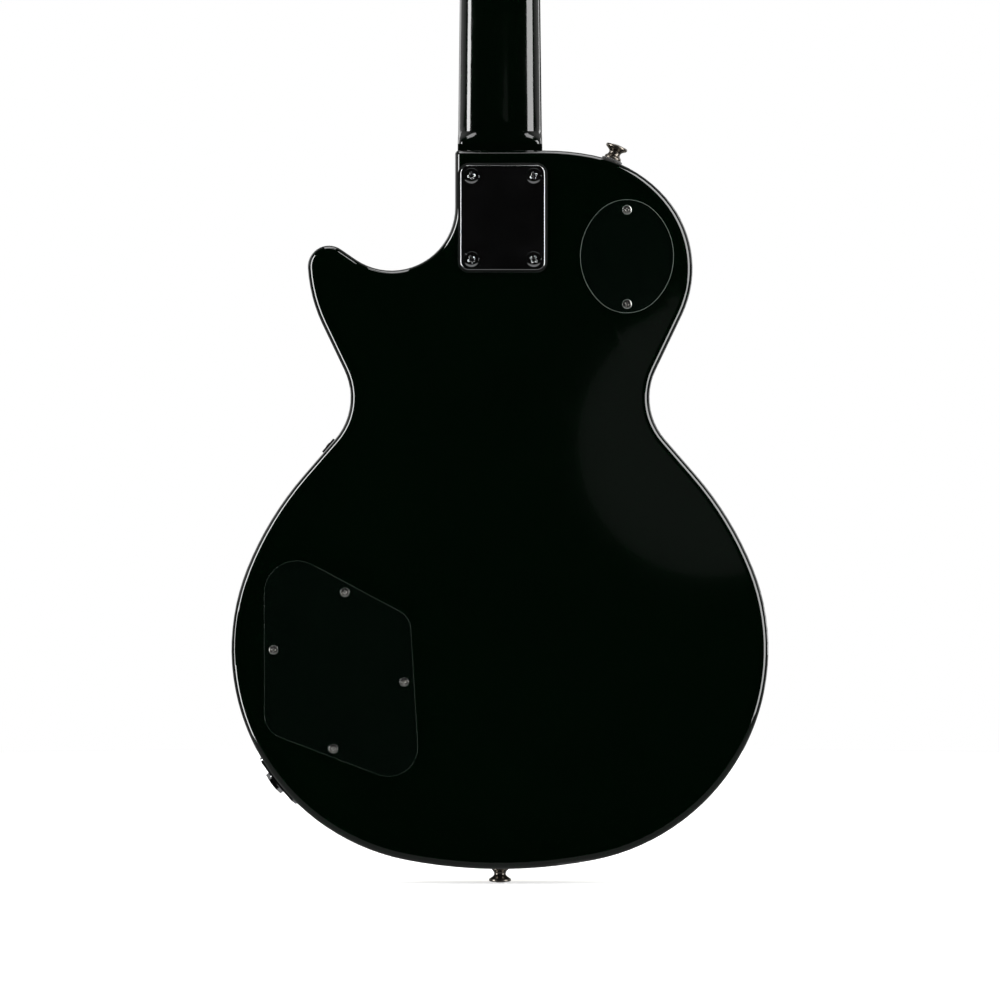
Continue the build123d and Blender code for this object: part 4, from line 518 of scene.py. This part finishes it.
def even_arch(piece):
    """Shades the carved top by the mean normal around each point, so that its reflections run smooth."""
    mesh = piece.data
    normals = [Vector(corner.vector) for corner in mesh.corner_normals]
    top = {}
    for loop in mesh.loops:
        if normals[loop.index].y < -ARCH_LEAN:
            top.setdefault(loop.vertex_index, []).append(loop.index)
    own = {}
    for vertex, corners in top.items():
        own[vertex] = sum((normals[corner] for corner in corners), Vector()).normalized()
    tree = KDTree(len(top))
    for vertex in top:
        tree.insert(mesh.vertices[vertex].co, vertex)
    tree.balance()
    for vertex, corners in top.items():
        mean = Vector()
        for _, near, distance in tree.find_range(mesh.vertices[vertex].co, ARCH_REACH):
            mean += own[near] * (1 - (distance / ARCH_REACH) ** 2)
        for corner in corners:
            normals[corner] = mean.normalized()
    mesh.normals_split_custom_set(normals)


def crisp(piece):
    """Keeps broad faces flat in the shading, and bends it only at their borders."""
    weighted = piece.modifiers.new("even shading", "WEIGHTED_NORMAL")
    weighted.keep_sharp = True
    weighted.mode = "FACE_AREA_WITH_ANGLE"


def dressed(node, edge=0.0, even=True, cut=None):
    """A CAD node's shape as a finished piece: welded, smooth and with its edges broken.

    A name for cut gives the broken edges a finish of their own, such as the lighter grey that paints a
    highlight along the covers' edges.
    """
    skin = skin_of(node, edge > 0)
    smooth(skin)
    piece = as_piece(skin, node + "_finished", SLOT_OF[node], BODY_OF[node])
    if edge:
        broken = piece.modifiers.new("broken edges", "BEVEL")
        broken.width = edge
        broken.segments = 3
        broken.limit_method = "ANGLE"
        broken.angle_limit = SHARP_ANGLE
        broken.harden_normals = True
        broken.miter_outer = "MITER_ARC"
        if cut:
            piece.data.materials.append(finish_of(cut))
            broken.material = 1
    if even:
        crisp(piece)
    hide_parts(node)
    return piece


def painted(*nodes):
    """CAD nodes whose shape is right get their finish."""
    for node in nodes:
        mesh = NODES[node].data
        mesh.materials.clear()
        mesh.materials.append(finish_of(SLOT_OF[node]))
        mesh.polygons.foreach_set("use_smooth", [True] * len(mesh.polygons))
        crisp(NODES[node])


def separate_parts(node):
    """The vertices of each solid of a CAD node, as arrays, in the node's own order."""
    skin = bmesh.new()
    skin.from_mesh(NODES[node].data)
    bmesh.ops.remove_doubles(skin, verts=skin.verts, dist=WELD)
    left = set(skin.verts)
    parts = []
    for start in skin.verts:
        if start not in left:
            continue
        left.discard(start)
        reached = [start]
        for vertex in reached:
            for edge in vertex.link_edges:
                other = edge.other_vert(vertex)
                if other in left:
                    left.discard(other)
                    reached.append(other)
        parts.append(np.array([vertex.co for vertex in reached]))
    skin.free()
    return parts


def around(step, radius, steps):
    """The place of a step on a circle about Z."""
    angle = 2 * math.pi * step / steps
    return radius * math.cos(angle), radius * math.sin(angle)


def band(skin, lower, upper, steps):
    """The faces between two rings of vertices, either of which may be a single point."""
    for i in range(steps):
        j = (i + 1) % steps
        corners = [lower[i % len(lower)], lower[j % len(lower)]]
        corners += [upper[j % len(upper)], upper[i % len(upper)]]
        skin.faces.new(list(dict.fromkeys(corners)))


def turned(profile, steps):
    """A skin turned about Z from (radius, height) points, which start and end on the axis."""
    skin = bmesh.new()
    rings = []
    for radius, height in profile:
        if radius == 0:
            rings.append([skin.verts.new((0, 0, height))])
            continue
        rings.append([skin.verts.new((*around(i, radius, steps), height)) for i in range(steps)])
    for lower, upper in zip(rings, rings[1:]):
        band(skin, lower, upper, steps)
    bmesh.ops.recalc_face_normals(skin, faces=skin.faces)
    return skin


def rounded_profile(corners, steps=5):
    """Profile points of (radius, height, corner radius), with each corner rounded by a small curve."""
    points = []
    for i, (radius, height, corner) in enumerate(corners):
        here = Vector((radius, height))
        if corner == 0 or i in (0, len(corners) - 1):
            points.append((radius, height))
            continue
        before = (Vector(corners[i - 1][:2]) - here).normalized() * corner
        after = (Vector(corners[i + 1][:2]) - here).normalized() * corner
        for k in range(steps + 1):
            t = k / steps
            point = here + before * (1 - t) ** 2 + after * t ** 2
            points.append((point.x, point.y))
    return points


def standing(axis, spin=0.0):
    """The turn that stands Z along an axis, after a spin about it."""
    return Vector(axis).to_track_quat("Z", "Y").to_matrix().to_4x4() @ Matrix.Rotation(spin, 4, "Z")


def add_to(skin, piece, place):
    """Adds one skin to another at a place, and frees it."""
    bmesh.ops.transform(piece, matrix=place, verts=piece.verts)
    mesh = bpy.data.meshes.new("part")
    piece.to_mesh(mesh)
    piece.free()
    skin.from_mesh(mesh)
    bpy.data.meshes.remove(mesh)


# -------------------------------------------------------------------------------------- screws
# A head's recess, in shares of the head's radius, and TIP_DEPTH in shares of CROSS_DEEP.
CROSS_ARM = 0.52
CROSS_TIP = 0.16
CROSS_WIDE = 0.12
CROSS_WALL = 0.05
CROSS_DEEP = 0.3
CORE_WIDE = 0.36
CORE_SLOPE = 0.24
TIP_DEPTH = 0.55
# The power of a head's dome, and the rings of its skin.
RIM_ROUND = 4
HEAD_ROWS = 22


def clamped(value):
    """A value kept between 0 and 1."""
    return max(0.0, min(1.0, value))


def cross_depth(x, y, radius):
    """How far a cross recess is sunk at a point of a screw head, from 0 to 1."""
    x = abs(x) / radius
    y = abs(y) / radius
    across = min(x, y)
    along = max(x, y)
    wall = clamped((CROSS_WIDE - across) / CROSS_WALL)
    tip = clamped((CROSS_ARM - along) / CROSS_TIP)
    core = clamped((CORE_WIDE - math.hypot(x, y)) / CORE_SLOPE)
    return max(wall * (TIP_DEPTH + (1 - TIP_DEPTH) * tip) if tip > 0 else 0.0, core)


def screw_skin(radius, shank, length, dome, steps):
    """A raised countersunk screw with a cross recess, its rim at zero and its shank down."""
    skin = bmesh.new()
    rings = [[skin.verts.new((0, 0, dome - radius * CROSS_DEEP))]]
    for row in range(1, HEAD_ROWS + 1):
        share = row / HEAD_ROWS
        top = dome * (1 - share ** RIM_ROUND)
        spots = [around(i, radius * share, steps) for i in range(steps)]
        sunk = [radius * CROSS_DEEP * cross_depth(x, y, radius) for x, y in spots]
        rings.append([skin.verts.new((*spot, top - deep)) for spot, deep in zip(spots, sunk)])
    cone = radius - shank
    below = ((radius, -0.1 * cone), (shank, -cone), (shank, shank - length), (shank * 0.1, -length))
    for ring_radius, z in below:
        rings.append([skin.verts.new((*around(i, ring_radius, steps), z)) for i in range(steps)])
    for inner, outer in zip(rings, rings[1:]):
        band(skin, inner, outer, steps)
    skin.faces.new(list(reversed(rings[-1])))
    bmesh.ops.recalc_face_normals(skin, faces=skin.faces)
    return skin


def screw_measure(points):
    """A screw's head centre, its axis out of the head, its radii, length and dome."""
    middle = points.mean(axis=0)
    values, vectors = np.linalg.eigh(np.cov((points - middle).T))
    axis = vectors[:, int(np.argmax(values))]
    along = (points - middle) @ axis
    across = np.linalg.norm((points - middle) - np.outer(along, axis), axis=1)
    if along[int(np.argmax(across))] < 0:
        axis = -axis
        along = -along
    widest = across.max()
    rim = along[across > 0.97 * widest].max()
    spine = points[along < along.min() + 0.25 * (along.max() - along.min())].mean(axis=0)
    offset = spine - middle
    centre = middle + offset - axis * (offset @ axis) + axis * rim
    radial = np.linalg.norm((points - centre) - np.outer((points - centre) @ axis, axis), axis=1)
    head = radial.max()
    deep = (points - centre) @ axis
    shank = radial[deep < 0.5 * deep.min()].max()
    return centre, axis, head, shank, -deep.min(), deep.max()


def make_screws(node, name, chance, steps):
    """Every screw of a CAD node, each with its own turn of the driver."""
    skin = bmesh.new()
    for points in separate_parts(node):
        centre, axis, head, shank, length, dome = screw_measure(points)
        screw = screw_skin(head, shank, length, dome, steps)
        spin = chance.uniform(0, math.pi)
        add_to(skin, screw, Matrix.Translation(centre) @ standing(axis, spin))
    smooth(skin)
    piece = as_piece(skin, name, SLOT_OF[node], BODY_OF[node])
    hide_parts(node)
    return piece


# ----------------------------------------------------------------------------------- operators
class GUITAR_OT_body(bpy.types.Operator):
    """Lacquer the body back and the carved top, and finish the binding"""

    bl_idname = "guitar.body"
    bl_label = "Body"

    def execute(self, context):
        dressed("body_back")
        dressed("top_binding")
        even_arch(dressed("top_cap", even=False))
        return {"FINISHED"}


class GUITAR_OT_neck(bpy.types.Operator):
    """Lacquer the neck and finish the nut, the truss rod and its cover"""

    bl_idname = "guitar.neck"
    bl_label = "Neck"

    def execute(self, context):
        true_shaft(dressed("neck", even=False))
        dressed("nut", 0.0002)
        dressed("truss_rod_cover", 0.0003)
        painted("truss_rod")
        return {"FINISHED"}


class GUITAR_OT_fretboard(bpy.types.Operator):
    """Oil the fretboard, polish the frets and finish the position markers"""

    bl_idname = "guitar.fretboard"
    bl_label = "Fretboard"

    def execute(self, context):
        for node in ("fretboard", "frets", "fret_markers"):
            dressed(node)
        return {"FINISHED"}


class GUITAR_OT_plates(bpy.types.Operator):
    """Make the neck plate, its cushion, the back covers and the jack plate"""

    bl_idname = "guitar.plates"
    bl_label = "Plates and covers"

    def execute(self, context):
        edge = context.scene.guitar_fittings.edge_break
        dressed("neck_plate", edge)
        dressed("neck_plate_cushion", edge)
        dressed("jack_plate", edge * 0.6)
        for node in ("switch_cover", "control_cover", "pickguard"):
            # The covers' broken edges take the lighter grey plastic, a painted highlight along their
            # outlines.
            dressed(node, edge, cut="edge_highlight_plastic")
        return {"FINISHED"}


class GUITAR_OT_screws(bpy.types.Operator):
    """Make the cross-head screws, each turned in to its own angle"""

    bl_idname = "guitar.screws"
    bl_label = "Screws"

    def execute(self, context):
        chance = random.Random(SEED)
        steps = context.scene.guitar_fittings.screw_steps
        for node in SCREWS:
            make_screws(node, node + "_finished", chance, steps)
        return {"FINISHED"}


class GUITAR_OT_strap_buttons(bpy.types.Operator):
    """Turn the two strap buttons and press the felt washer under one"""

    bl_idname = "guitar.strap_buttons"
    bl_label = "Strap buttons"

    FLARE = 6.8 * MM
    NECK = 3.6 * MM
    BASE = 5.4 * MM
    TALL = 8.8 * MM
    SEAT = 3.9 * MM
    FELT_TALL = 2.0 * MM
    FELT_RADIUS = 6.5 * MM
    FELT_BORE = 2.2 * MM

    def execute(self, context):
        skin = bmesh.new()
        for name, lift in (("end_strap_button", 0.0), ("shoulder_strap_button", self.FELT_TALL)):
            mount = MOUNTS[name]
            place = Matrix.Translation(mount["pos_m"]) @ standing(mount["axis"])
            add_to(skin, self.button(), place @ Matrix.Translation((0, 0, lift)))
        smooth(skin)
        piece = as_piece(skin, "strap_buttons_finished", SLOT_OF["strap_buttons"])
        # The buttons take the darkened chrome, painted shade for their dim reflections.
        piece.data.materials[0] = finish_of("chrome_with_painted_shade")
        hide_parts("strap_buttons")
        self.felt(context.scene.guitar_fittings.felt_fuzz)
        return {"FINISHED"}

    def button(self):
        """A flared button with a waisted neck and a sunk top for its screw."""
        top = self.TALL
        sunk = 1.9 * MM
        corners = ((0, 0.2 * MM, 0), (self.BASE - 0.2 * MM, 0.05 * MM, 0.2 * MM),
                   (self.BASE, 1.2 * MM, 0.6 * MM), (self.NECK, 2.8 * MM, 1.2 * MM),
                   (self.NECK, 5.0 * MM, 1.4 * MM), (self.FLARE, top - 1.7 * MM, 0.5 * MM),
                   (self.FLARE, top - 0.1 * MM, 0.9 * MM), (self.SEAT, top - 0.02 * MM, 0.3 * MM),
                   (self.SEAT - 1.6 * MM, top - sunk, 0.1 * MM), (0, top - sunk, 0))
        return turned(rounded_profile(corners, 7), 72)

    def felt(self, fuzz):
        """The felt washer: soft edges and fibres that stand out unevenly."""
        mount = MOUNTS["shoulder_strap_button"]
        tall = self.FELT_TALL
        corners = ((self.FELT_BORE, 0.1 * MM, 0), (self.FELT_RADIUS, 0.05 * MM, 0.5 * MM),
                   (self.FELT_RADIUS, tall - 0.02 * MM, 0.6 * MM), (self.FELT_BORE, tall - 0.02 * MM, 0))
        skin = turned(rounded_profile(corners, 8), 160)
        chance = random.Random(SEED)
        for vertex in skin.verts:
            out = Vector((vertex.co.x, vertex.co.y, 0)).normalized()
            if vertex.co.xy.length > self.FELT_RADIUS * 0.6:
                vertex.co += out * chance.uniform(-fuzz, fuzz * 0.5)
        bmesh.ops.transform(skin, matrix=Matrix.Translation(mount["pos_m"]) @ standing(mount["axis"]),
                            verts=skin.verts)
        smooth(skin)
        washer = as_piece(skin, "strap_button_felt_finished", "felt")
        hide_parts("strap_button_felt")


class GUITAR_OT_knobs(bpy.types.Operator):
    """Turn the four knobs, with their flutes and pointer lines"""

    bl_idname = "guitar.knobs"
    bl_label = "Knobs"

    TALL = 15 * MM
    SKIRT = 2.2 * MM
    CROWN = 1.4 * MM
    TAPER = 0.84
    HOLLOW = 0.75
    POINTER = (0.9 * MM, 0.35 * MM)

    def execute(self, context):
        fittings = context.scene.guitar_fittings
        for node in KNOBS:
            skin = self.knob(node, fittings)
            piece = as_piece(skin, node + "_finished", SLOT_OF[node], BODY_OF[node])
            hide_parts(node)
            self.pointer(node)
        return {"FINISHED"}

    def measure(self, node):
        """The middle of a knob's foot and its radius. The shaft lies deeper than the foot."""
        low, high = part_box(node)
        middle = (low + high) / 2
        return Vector((middle.x, low.y + self.TALL, middle.z)), (high.x - low.x) / 2

    def knob(self, node, fittings):
        """A fluted knob with a smooth skirt and a dished top."""
        foot, radius = self.measure(node)
        tall = self.TALL
        top = radius * self.TAPER
        profile = rounded_profile((
            (0, 0.3 * tall, 0), (radius * self.HOLLOW, 0.3 * tall, 0), (radius * self.HOLLOW, 0, 0),
            (radius, 0, 0.3 * MM), (radius, self.SKIRT, 0.5 * MM),
            (radius * 0.93, self.SKIRT * 1.15, 0.2 * MM), (radius * 0.92, self.SKIRT * 1.8, 0.2 * MM),
            (top * 1.03, tall * 0.45, 0.2 * MM),
            (top * 1.01, tall * 0.7, 0.2 * MM), (top, tall, self.CROWN),
            (top * 0.62, tall, 0.4 * MM), (top * 0.55, tall - 0.5 * MM, 0.3 * MM),
            (0, tall - 0.45 * MM, 0)), 5)
        skin = turned(profile, fittings.knob_flutes * 8)
        for vertex in skin.verts:
            height = vertex.co.z
            reach = vertex.co.xy.length
            if self.SKIRT * 1.1 < height < tall - 0.6 * MM and reach > top * 0.9:
                angle = math.atan2(vertex.co.y, vertex.co.x) * fittings.knob_flutes
                cut = fittings.flute_depth * max(0.0, math.cos(angle)) ** 0.7
                vertex.co.xy *= 1 - cut / reach
        place = Matrix.Translation(foot) @ standing((0, -1, 0))
        bmesh.ops.transform(skin, matrix=place, verts=skin.verts)
        smooth(skin)
        return skin

    def pointer(self, node):
        """The inlaid white line of a knob, on its crown."""
        foot, radius = self.measure(node)
        wide, proud = self.POINTER
        skin = bmesh.new()
        bmesh.ops.create_cube(skin, size=1)
        top = radius * self.TAPER
        scale = Matrix.Diagonal((wide, proud, top * 0.34, 1))
        bmesh.ops.transform(skin, matrix=scale, verts=skin.verts)
        bmesh.ops.bevel(skin, geom=skin.edges, offset=0.12 * MM, segments=2, affect="EDGES")
        place = foot + Vector((0, -self.TALL + 0.05 * MM, top * 0.80))
        bmesh.ops.translate(skin, vec=place, verts=skin.verts)
        smooth(skin)
        as_piece(skin, node + "_pointer", "inlay", BODY_OF[node])


class GUITAR_OT_pickups(bpy.types.Operator):
    """Finish the two pickups, their rings and the parts under them"""

    bl_idname = "guitar.pickups"
    bl_label = "Pickups"

    def execute(self, context):
        edge = context.scene.guitar_fittings.edge_break
        dressed("pickup_rings", edge)
        for place in ("neck", "bridge"):
            dressed(place + "_pickup_cover")
            dressed(place + "_pickup_base")
        return {"FINISHED"}


class GUITAR_OT_bridge(bpy.types.Operator):
    """Finish the bridge, its saddles and the tailpiece"""

    bl_idname = "guitar.bridge"
    bl_label = "Bridge and tailpiece"

    def execute(self, context):
        edge = context.scene.guitar_fittings.edge_break
        dressed("bridge", edge)
        dressed("tailpiece", edge)
        for node in ("bridge_saddles", "bridge_studs", "tailpiece_studs"):
            dressed(node)
        return {"FINISHED"}


class GUITAR_OT_controls(bpy.types.Operator):
    """Finish the pots, the toggle switch, the jack and their nuts"""

    bl_idname = "guitar.controls"
    bl_label = "Controls"

    def execute(self, context):
        for node in ("output_jack", "panel_nuts", "switch_ring", "toggle_switch", "switch_lever",
                     "pickguard_bracket"):
            dressed(node)
        painted("potentiometers", "wiring")
        return {"FINISHED"}


class GUITAR_OT_tuners(bpy.types.Operator):
    """Finish the six tuners: housings, bushings, keys and string posts"""

    bl_idname = "guitar.tuners"
    bl_label = "Tuners"

    def execute(self, context):
        for node in ("tuner_housings", "tuner_bushings"):
            dressed(node)
        for number in range(1, 7):
            dressed(f"tuner_key_{number}")
            dressed(f"string_post_{number}")
        return {"FINISHED"}


class GUITAR_OT_strings(bpy.types.Operator):
    """Finish the six strings, with windings on the bass side"""

    bl_idname = "guitar.strings"
    bl_label = "Strings"

    def execute(self, context):
        dressed("strings")
        return {"FINISHED"}


class GUITAR_OT_stage(bpy.types.Operator):
    """Set the pale floor, the softboxes, the surroundings and the camera"""

    bl_idname = "guitar.stage"
    bl_label = "Studio"

    SENSOR = 36.0
    WHITE = 1.0
    FILL = 0.55
    DARK = 0.0022
    FRONT = 0.2
    UNDER = 0.18

    def execute(self, context):
        stage = context.scene.guitar_stage
        self.floor(stage.floor_radius)
        self.surroundings(context.scene)
        self.softboxes(stage.softbox)
        self.camera(context.scene, stage)
        context.scene.view_settings.view_transform = "Standard"
        return {"FINISHED"}

    def floor(self, radius):
        """A pale round floor under the end strap button."""
        skin = bmesh.new()
        bmesh.ops.create_circle(skin, cap_ends=True, radius=radius, segments=96)
        mesh = bpy.data.meshes.new("studio_floor")
        skin.to_mesh(mesh)
        skin.free()
        floor = bpy.data.objects.new("studio_floor", mesh)
        floor.location.z = CAD_BOX[0].z
        floor.visible_glossy = False
        bpy.context.scene.collection.objects.link(floor)
        paper = Finish("studio paper", (0.9, 0.9, 0.9), 0.9, Emission_Color=(1, 1, 1, 1),
                       Emission_Strength=0.6)
        grain = paper.noise(8, 4)
        paper.colour(paper.mix(grain, (0.88, 0.88, 0.88), (0.92, 0.92, 0.92)))
        mesh.materials.append(paper.material)

    def surroundings(self, scene):
        """A white backdrop, an even fill for shadows, and a dim room for reflections."""
        world = bpy.data.worlds.new("studio")
        scene.world = world
        world.use_nodes = True
        tree = world.node_tree
        tree.nodes.clear()
        ray = tree.nodes.new("ShaderNodeLightPath")
        out = tree.nodes.new("ShaderNodeOutputWorld")
        room = self.glow(tree, 1.0)
        self.room_brightness(tree, room.inputs["Strength"])
        unseen = self.choose(tree, ray.outputs["Is Glossy Ray"], self.glow(tree, self.FILL), room)
        seen = self.choose(tree, ray.outputs["Is Camera Ray"], unseen, self.glow(tree, self.WHITE))
        tree.links.new(seen.outputs[0], out.inputs["Surface"])

    def room_brightness(self, tree, strength):
        """Dark behind the guitar's back, dim in front of it and under it."""
        direction = tree.nodes.new("ShaderNodeTexCoord")
        split = tree.nodes.new("ShaderNodeSeparateXYZ")
        tree.links.new(direction.outputs["Generated"], split.inputs[0])
        parts = []
        for axis, start, end, bright in (("Y", 0.0, -0.5, self.FRONT), ("Z", -0.25, -0.45, self.UNDER)):
            made = tree.nodes.new("ShaderNodeMapRange")
            made.interpolation_type = "SMOOTHSTEP"
            set_range(made, start, end, self.DARK, bright)
            tree.links.new(split.outputs[axis], made.inputs["Value"])
            parts.append(made.outputs["Result"])
        brighter = tree.nodes.new("ShaderNodeMath")
        brighter.operation = "MAXIMUM"
        tree.links.new(parts[0], brighter.inputs[0])
        tree.links.new(parts[1], brighter.inputs[1])
        tree.links.new(brighter.outputs[0], strength)

    def choose(self, tree, factor, first, second):
        """The second background where the factor is one, and the first where it is nought."""
        made = tree.nodes.new("ShaderNodeMixShader")
        tree.links.new(factor, made.inputs[0])
        tree.links.new(first.outputs[0], made.inputs[1])
        tree.links.new(second.outputs[0], made.inputs[2])
        return made

    def glow(self, tree, strength):
        """A background of one brightness."""
        made = tree.nodes.new("ShaderNodeBackground")
        made.inputs["Color"].default_value = (1, 1, 1, 1)
        made.inputs["Strength"].default_value = strength
        return made

    def softboxes(self, level):
        """Strips at both sides, one softbox overhead, dim cards and a faint round light behind."""
        self.softbox("treble_strip", (1.4, 0.54, 0.45), 0.4, 2.0, 11.0 * level)
        self.softbox("bass_strip", (-1.36, 0.63, 0.85), 0.75, 2.8, 6.0 * level)
        self.softbox("overhead", (0.0, -0.3, 2.7), 1.4, 1.4, 3.2 * level)
        self.softbox("front_card_treble", (1.3, -2.0, 0.9), 1.2, 1.6, 0.9 * level)
        self.softbox("front_card_bass", (-1.5, -1.8, 0.7), 0.7, 1.9, 1.6 * level)
        self.softbox("neck_card_treble", (1.9, -0.6, 0.97), 1.5, 0.9, 0.25 * level)
        self.softbox("neck_card_bass", (-1.9, -0.6, 0.97), 1.5, 0.9, 0.25 * level)
        self.softbox("umbrella", (-0.27, 3.22, 0.301), 0.343, 0.343, 0.055 * level, "DISK")

    def softbox(self, name, place, wide, tall, radiance, shape="RECTANGLE"):
        """An area light of a known brightness that faces the middle of the body."""
        lamp = bpy.data.lights.new(name, "AREA")
        lamp.shape = shape
        lamp.size = wide
        lamp.size_y = tall
        lamp.energy = radiance * math.pi * wide * tall
        light = bpy.data.objects.new(name, lamp)
        light.location = place
        light.rotation_euler = (Vector((0, 0, 0.4)) - Vector(place)).to_track_quat("-Z", "Y").to_euler()
        light.visible_camera = False
        bpy.context.scene.collection.objects.link(light)

    def camera(self, scene, stage):
        """A long lens, level with the body and square to its back."""
        data = bpy.data.cameras.new("camera")
        data.sensor_width = self.SENSOR
        data.lens = self.SENSOR * stage.camera_distance / stage.field_width
        data.clip_end = 50
        camera = bpy.data.objects.new("camera", data)
        camera.location = (0, BACK_Y + stage.camera_distance, stage.camera_height)
        camera.rotation_euler = (math.pi / 2, 0, math.pi)
        scene.collection.objects.link(camera)
        scene.camera = camera


# ----------------------------------------------------------------------------------- sidebar
STEPS = (GUITAR_OT_body, GUITAR_OT_neck, GUITAR_OT_fretboard, GUITAR_OT_plates, GUITAR_OT_screws,
         GUITAR_OT_strap_buttons, GUITAR_OT_knobs, GUITAR_OT_pickups, GUITAR_OT_bridge,
         GUITAR_OT_controls, GUITAR_OT_tuners, GUITAR_OT_strings, GUITAR_OT_stage)


GROUPS = {"guitar_finishes": FinishSettings, "guitar_fittings": FittingSettings,
          "guitar_stage": StageSettings}


class GUITAR_PT_workshop(bpy.types.Panel):
    """Lists the pieces of the guitar and their settings"""

    bl_idname = "GUITAR_PT_workshop"
    bl_label = "Electric guitar"
    bl_space_type = "VIEW_3D"
    bl_region_type = "UI"
    bl_category = "Guitar"

    def draw(self, context):
        for name in GROUPS:
            group = getattr(context.scene, name)
            box = self.layout.box()
            for setting in group.bl_rna.properties.keys():
                if setting not in ("rna_type", "name"):
                    box.prop(group, setting)
        column = self.layout.column(align=True)
        for step in STEPS:
            column.operator(step.bl_idname)


def register():
    for cls in (*GROUPS.values(), *STEPS, GUITAR_PT_workshop):
        bpy.utils.register_class(cls)
    for name, group in GROUPS.items():
        setattr(bpy.types.Scene, name, PointerProperty(type=group))


def unregister():
    for name in GROUPS:
        delattr(bpy.types.Scene, name)
    for cls in reversed((*GROUPS.values(), *STEPS, GUITAR_PT_workshop)):
        bpy.utils.unregister_class(cls)


def main():
    register()
    bpy.ops.guitar.body()
    bpy.ops.guitar.neck()
    bpy.ops.guitar.fretboard()
    bpy.ops.guitar.plates()
    bpy.ops.guitar.screws()
    bpy.ops.guitar.strap_buttons()
    bpy.ops.guitar.knobs()
    bpy.ops.guitar.pickups()
    bpy.ops.guitar.bridge()
    bpy.ops.guitar.controls()
    bpy.ops.guitar.tuners()
    bpy.ops.guitar.strings()
    bpy.ops.guitar.stage()


if __name__ == "__main__":
    main()
